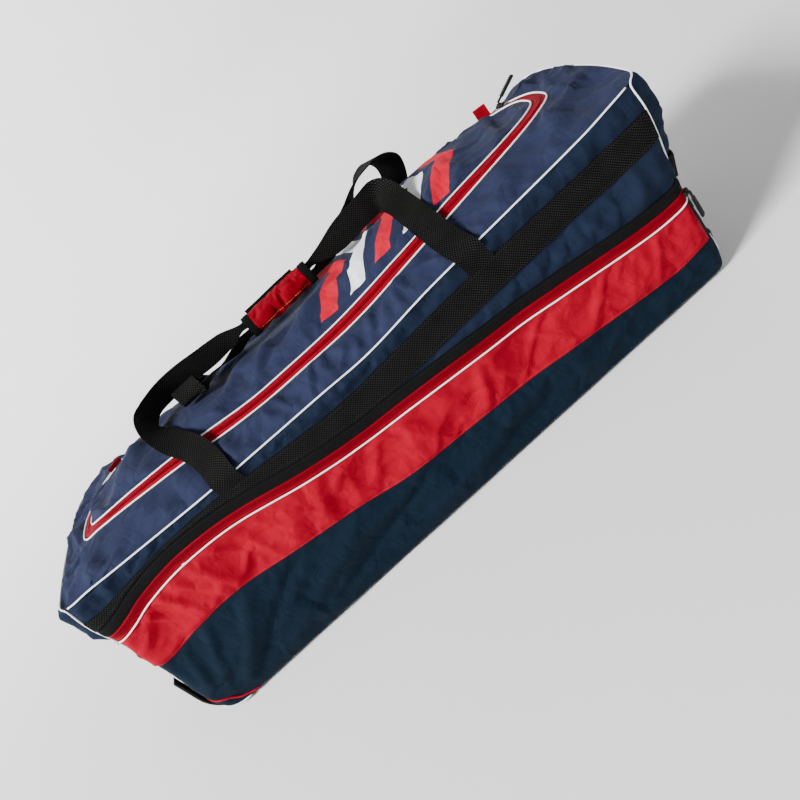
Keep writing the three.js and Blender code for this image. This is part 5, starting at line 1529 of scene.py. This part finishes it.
# Zip tabs: folded red ribbons sewn in where the zips begin and end, two at the lid and one hanging
# behind the side pullers, to hold the bag by while a zip is pulled.
TAB_TURN = 0.8
TAB_CELLS = (10, 28)
TAB_WALL = 0.6
TAB_LEG = 0.42  # share of the ribbon on each side of its fold
TAB_FOLD = 0.16
TAB_RIPPLE = 0.3
# name, x, lift, lean in degrees, width and length
LID_TABS = [("pull", 378, 1.9, 10, 20, 18), ("wheel", -374, 0.9, 25, 24, 8)]
SIDE_TAB_PAST = 30  # from the pull end's front corner
SIDE_TAB_LIFT = 1.3
SIDE_TAB_SIZE = (18, 34)


def tab_piece(name, node, point, edge, way, wide, long):
    """A ribbon folded over at its free end, with both its ends in the seam."""
    edge, way = unit(np.asarray(edge, float)), unit(np.asarray(way, float))
    face = np.cross(edge, way)

    def folded(u, v):
        leg = np.clip(np.minimum(v, 1 - v) / TAB_LEG, 0, 1)
        turn = np.clip((v - TAB_LEG) / TAB_FOLD, 0, 1) * math.pi
        up = (long - TAB_TURN) * leg + TAB_TURN * np.sin(turn)
        aside = TAB_TURN * np.cos(turn) + TAB_RIPPLE * np.sin(7 * u) * leg
        return point + edge * ((u - 0.5) * wide)[:, None] + way * up[:, None] + face * aside[:, None]

    bm, _ = mapped_grid(*TAB_CELLS, folded, lambda u, v: (wide * u, 2 * long * v))
    make_piece(bm, name, red_grip, [node], thickness=TAB_WALL, offset=CENTRED)


for name, x, lift, lean, wide, long in LID_TABS:
    point, along, across, out = ring_frame(x)
    way = out * math.cos(math.radians(lean)) - across * math.sin(math.radians(lean))
    tab_piece(f"lid_tab_{name}_ribbon", f"lid_tab_{name}", point + out * lift, along, way, wide, long)
tab_at = FRONT_RIGHT + SIDE_TAB_PAST
tab_rise = tape_low(tab_at)
out = wall_ways(tab_at, tab_rise)[2]
point = on_wall(tab_at, tab_rise, SIDE_TAB_LIFT)
tab_piece("side_zip_tab_ribbon", "side_zip_tab", point, np.cross(UP, out), -UP, *SIDE_TAB_SIZE)


# Wheel guard: one black plastic moulding round the lower wheel end, with a well for each wheel. The
# side panels' piped corners are caught behind its edge, and its floor meets the base panel.
GUARD_HALF = 155
GUARD_LIP = -404
GUARD_FLOOR_HALF = WIDTH / 2 - BASE_TURN - GAP
WELL_TOP = 80
WELL_WALL = 3
WELL_SIDE = 3
WHEEL_WIDTH = 22
WHEEL_X = -448
WHEEL_Y = 116
WHEEL_Z = 38
SLOT_HALF = WHEEL_WIDTH / 2 + WELL_SIDE
SLOT_TOP = WELL_TOP - WELL_WALL
GUARD_ROUND = 14
GUARD_UPRIGHT = 66  # height at which the end's last flat strip begins
GUARD_LEVEL = 12  # length of the floor's first flat strip
GUARD_LAID = (310, 200)
GUARD_EDGE = 0.9
GUARD_MIDDLES = list(np.linspace(-80, 80, 9))
slot_edges = [side * (WHEEL_Y + hand * SLOT_HALF) for side in (-1, 1) for hand in (-1, 1)]
guard_columns = np.array(sorted(
    [-GUARD_HALF, -GUARD_FLOOR_HALF, GUARD_FLOOR_HALF, GUARD_HALF] + slot_edges + GUARD_MIDDLES))
arc_turn = np.linspace(0, math.pi / 2, GUARD_ROUND + 1)
guard_line = np.concatenate([
    [(GUARD_X, GUARD_TOP), (GUARD_X, SLOT_TOP), (GUARD_X, GUARD_UPRIGHT)],
    np.stack([GUARD_MIDDLE - GUARD_TURN * np.cos(arc_turn), GUARD_TURN * (1 - np.sin(arc_turn))], -1),
    [(GUARD_MIDDLE + GUARD_LEVEL, 0), (GUARD_LIP - WELL_WALL, 0), (GUARD_LIP, 0)]])
guard_cells = (len(guard_columns) - 1, len(guard_line) - 1)


def guard_shape(u, v):
    y = guard_columns[step_at(u, guard_cells[0])]
    at = guard_line[step_at(1 - v, guard_cells[1])]
    return np.stack([at[:, 0], -y, at[:, 1]], -1)


bm, _ = mapped_grid(*guard_cells, guard_shape, lambda u, v: (GUARD_LAID[0] * u, GUARD_LAID[1] * v))
cut = []
for part in bm.faces:
    middle = part.calc_center_median() / MM
    beside_wheel = abs(abs(middle.y) - WHEEL_Y) < SLOT_HALF
    in_slot = beside_wheel and middle.z < SLOT_TOP and middle.x < GUARD_LIP - WELL_WALL
    beyond_floor = middle.x > GUARD_MIDDLE and abs(middle.y) > GUARD_FLOOR_HALF
    if in_slot or beyond_floor:
        cut.append(part)
bmesh.ops.delete(bm, geom=cut, context="FACES")
guard = make_piece(bm, "wheel_guard_moulding", moulded, ["wheel_guard"],
                   thickness=GUARD_THICK)
rounding = guard.modifiers.new("edges", "BEVEL")
rounding.width = GUARD_EDGE * MM
rounding.segments = 2
rounding.limit_method = "ANGLE"

WELL_CUTS = 15
WELL_SUNK = 0.5  # into the guard's floor
WELL_SHEET = WELL_WALL - 0.4
well_x = (GUARD_X + GUARD_THICK, GUARD_LIP - WELL_WALL)
well_z = (GUARD_THICK - WELL_SUNK, SLOT_TOP)
well_turn = GUARD_TURN - GUARD_THICK
for side, y in (("front", -WHEEL_Y), ("back", WHEEL_Y)):
    bm = bmesh.new()
    bmesh.ops.create_cube(bm, size=1.0)
    bmesh.ops.subdivide_edges(bm, edges=bm.edges, cuts=WELL_CUTS, use_grid_fill=True)
    open_sides = [part for part in bm.faces if part.normal.x < -0.9 or part.normal.z < -0.9]
    bmesh.ops.delete(bm, geom=open_sides, context="FACES")
    for vert in bm.verts:
        x = well_x[0] + (well_x[1] - well_x[0]) * (vert.co.x + 0.5)
        z = well_z[0] + (well_z[1] - well_z[0]) * (vert.co.z + 0.5)
        dx, dz = min(x - GUARD_MIDDLE, 0), min(z - GUARD_TURN, 0)
        reach = math.hypot(dx, dz)
        if reach > well_turn:
            x += dx * (well_turn / reach - 1)
            z += dz * (well_turn / reach - 1)
        vert.co = Vector((x, y + vert.co.y * 2 * SLOT_HALF, z)) * MM
    bmesh.ops.reverse_faces(bm, faces=bm.faces)
    lay_cloth(bm, [vert.co.xz for vert in bm.verts])
    make_piece(bm, f"wheel_well_{side}", moulded, thickness=WELL_SHEET)


# Wheels: a grooved rubber tyre on a moulded hub with five spokes, turning on a plain steel axle that
# is pressed through the cheeks of the well.
WHEEL_STEPS = 60
AXLE_RADIUS = 4
# radius and place across, once round each section
TYRE_PROFILE = [
    (26, -8), (31, -9.6), (34.2, -8.8), (35.8, -6.4), (36, -3.4), (34.9, -2.8), (34.9, -1.6), (36, -1),
    (36, 1), (34.9, 1.6), (34.9, 2.8), (36, 3.4), (35.8, 6.4), (34.2, 8.8), (31, 9.6), (26, 8)]
HUB_PROFILE = [
    (AXLE_RADIUS + GAP, -11), (9, -11), (10.5, -9.6), (11.5, -3.2), (22, -2.6), (23.5, -7.2),
    (25.9, -7.6), (25.9, 7.6), (23.5, 7.2), (22, 2.6), (11.5, 3.2), (10.5, 9.6), (9, 11),
    (AXLE_RADIUS + GAP, 11)]
SPOKES = 5
SPOKE_SIZE = (14, 13, 3.6)
SPOKE_OUT = 17
rubber = scuffed(
    "tyre_rubber_finish", (0.010, 0.010, 0.011), (0.034, 0.033, 0.032), specular=0.3,
    scuff=(120.0, 0.4), span=(0.35, 0.8), rough=(0.7, 0.92), grain=(1800.0, 2.0), depth=0.15)


def turned(profile):
    """A closed section of (radius, across) places spun round the axle."""
    bm = bmesh.new()
    verts = [bm.verts.new(Vector((radius, across, 0)) * MM) for radius, across in profile]
    edges = [bm.edges.new((verts[i], verts[(i + 1) % len(verts)])) for i in range(len(verts))]
    bmesh.ops.spin(bm, geom=verts + edges, cent=(0, 0, 0), axis=(0, 1, 0), angle=2 * math.pi,
                   steps=WHEEL_STEPS, use_merge=True)
    bmesh.ops.remove_doubles(bm, verts=bm.verts, dist=MERGE)
    bmesh.ops.recalc_face_normals(bm, faces=bm.faces)
    return bm


for side, y in (("front", -WHEEL_Y), ("back", WHEEL_Y)):
    middle = Vector((WHEEL_X, y, WHEEL_Z)) * MM
    bm = turned(TYRE_PROFILE)
    bmesh.ops.translate(bm, vec=middle, verts=bm.verts)
    make_piece(bm, f"tyre_{side}", rubber, [f"wheel_{side}"], body=f"{side}_wheel")
    bm = turned(HUB_PROFILE)
    for i in range(SPOKES):
        made = set(bm.verts)
        rounded_block(bm, SPOKE_SIZE, (SPOKE_OUT, 0, 0), EDGE_RADIUS)
        spoke = [vert for vert in bm.verts if vert not in made]
        turn = Matrix.Rotation(2 * math.pi * i / SPOKES, 3, "Y")
        bmesh.ops.rotate(bm, verts=spoke, cent=(0, 0, 0), matrix=turn)
    bmesh.ops.translate(bm, vec=middle, verts=bm.verts)
    make_piece(bm, f"hub_{side}", moulded, body=f"{side}_wheel")

steel, tree, shader = new_material("axle_steel_finish", metallic=1.0)
place = coordinates(tree, "Object")
turning = threads(tree, place, 0.25 * MM, "Y")
stain = speckle(tree, place, 300.0, 4.0)
shade = blended(tree, stain, (0.36, 0.36, 0.37), (0.60, 0.60, 0.61))
dress(tree, shader, shade, bumped(tree, turning, 0.03 * MM, 0.5), eased(tree, stain, 0.3, 0.7, 0.25, 0.45))
for side in ("front", "back"):
    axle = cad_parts[f"axle_{side}"]
    for slot in axle.material_slots:
        slot.link = "OBJECT"
        slot.material = steel


# Stage: a wide pale floor that sweeps up round the bag, a strong soft light from the upper left with
# weak fill and back lights, and the camera tilted so that the bag lies across the picture.
FLOOR_DROP = 0.4
SWEEP_FROM = 2.6
SWEEP_RADIUS = 2.2
SWEEP_STEPS = 24
SWEEP_ROUND = 128
CAMERA_EYE = Vector((75.04, -1023.43, 643.24)) * MM
CAMERA_YAW = -0.06578494
CAMERA_PITCH = 0.48096226
CAMERA_ROLL = 0.77637801
CAMERA_LENS = 34.04
CAMERA_SENSOR = 36
SKY_STRENGTH = 0.26
# name, place, aim, size in metres and power in watts
LIGHTS = [
    ("key_light", (-5.0, -2.4, 4.2), (0, 0, 0.2), 1.9, 1450),
    ("fill_light", (2.8, -0.6, 1.6), (0, 0, 0.2), 2.0, 22),
    ("back_light", (0.8, 3.0, 1.9), (0, 0, 0.2), 2.0, 24),
    ("sweep_light", (-1.2, 1.8, 3.0), (-1.8, 4.6, 1.0), 1.8, 200)]

floor_finish, tree, shader = new_material("pale_floor", roughness=0.9)
mottle = speckle(tree, coordinates(tree, "Object"), 3.0, 2.0)
dress(tree, shader, blended(tree, mottle, [0.65] * 3, [0.68] * 3))
sweep_turn = np.linspace(0, math.pi / 2, SWEEP_STEPS + 1)
sweep_out = SWEEP_FROM + SWEEP_RADIUS * np.sin(sweep_turn)
sweep_up = SWEEP_RADIUS * (1 - np.cos(sweep_turn)) - FLOOR_DROP * MM
bm = bmesh.new()
line = [bm.verts.new((0, 0, -FLOOR_DROP * MM))]
line += [bm.verts.new((float(out), 0, float(up))) for out, up in zip(sweep_out, sweep_up)]
edges = [bm.edges.new(pair) for pair in zip(line, line[1:])]
bmesh.ops.spin(bm, geom=line + edges, cent=(0, 0, 0), axis=(0, 0, 1), angle=2 * math.pi,
               steps=SWEEP_ROUND, use_merge=True)
bmesh.ops.remove_doubles(bm, verts=bm.verts, dist=MERGE)
new_object(bm, "floor", floor_finish)

world = bpy.data.worlds.new("studio")
bpy.context.scene.world = world
world.use_nodes = True
sky = world.node_tree.nodes["Background"]
sky.inputs["Color"].default_value = (1, 1, 1, 1)
sky.inputs["Strength"].default_value = SKY_STRENGTH
for name, place, aim, size, power in LIGHTS:
    lamp = bpy.data.lights.new(name, "AREA")
    lamp.size = size
    lamp.energy = power
    made = bpy.data.objects.new(name, lamp)
    made.location = place
    made.rotation_euler = (Vector(aim) - Vector(place)).to_track_quat("-Z", "Y").to_euler()
    bpy.context.collection.objects.link(made)

lens = bpy.data.cameras.new("camera")
lens.lens = CAMERA_LENS
lens.sensor_width = CAMERA_SENSOR
camera = bpy.data.objects.new("camera", lens)
bpy.context.collection.objects.link(camera)
reach = math.cos(CAMERA_PITCH)
forward = Vector((math.sin(CAMERA_YAW) * reach, math.cos(CAMERA_YAW) * reach, -math.sin(CAMERA_PITCH)))
level = Vector((math.cos(CAMERA_YAW), -math.sin(CAMERA_YAW), 0))
down = forward.cross(level)
image_right = math.cos(CAMERA_ROLL) * level + math.sin(CAMERA_ROLL) * down
image_down = math.cos(CAMERA_ROLL) * down - math.sin(CAMERA_ROLL) * level
turn = Matrix((image_right, -image_down, -forward)).transposed().to_4x4()
camera.matrix_world = Matrix.Translation(CAMERA_EYE) @ turn
bpy.context.scene.camera = camera
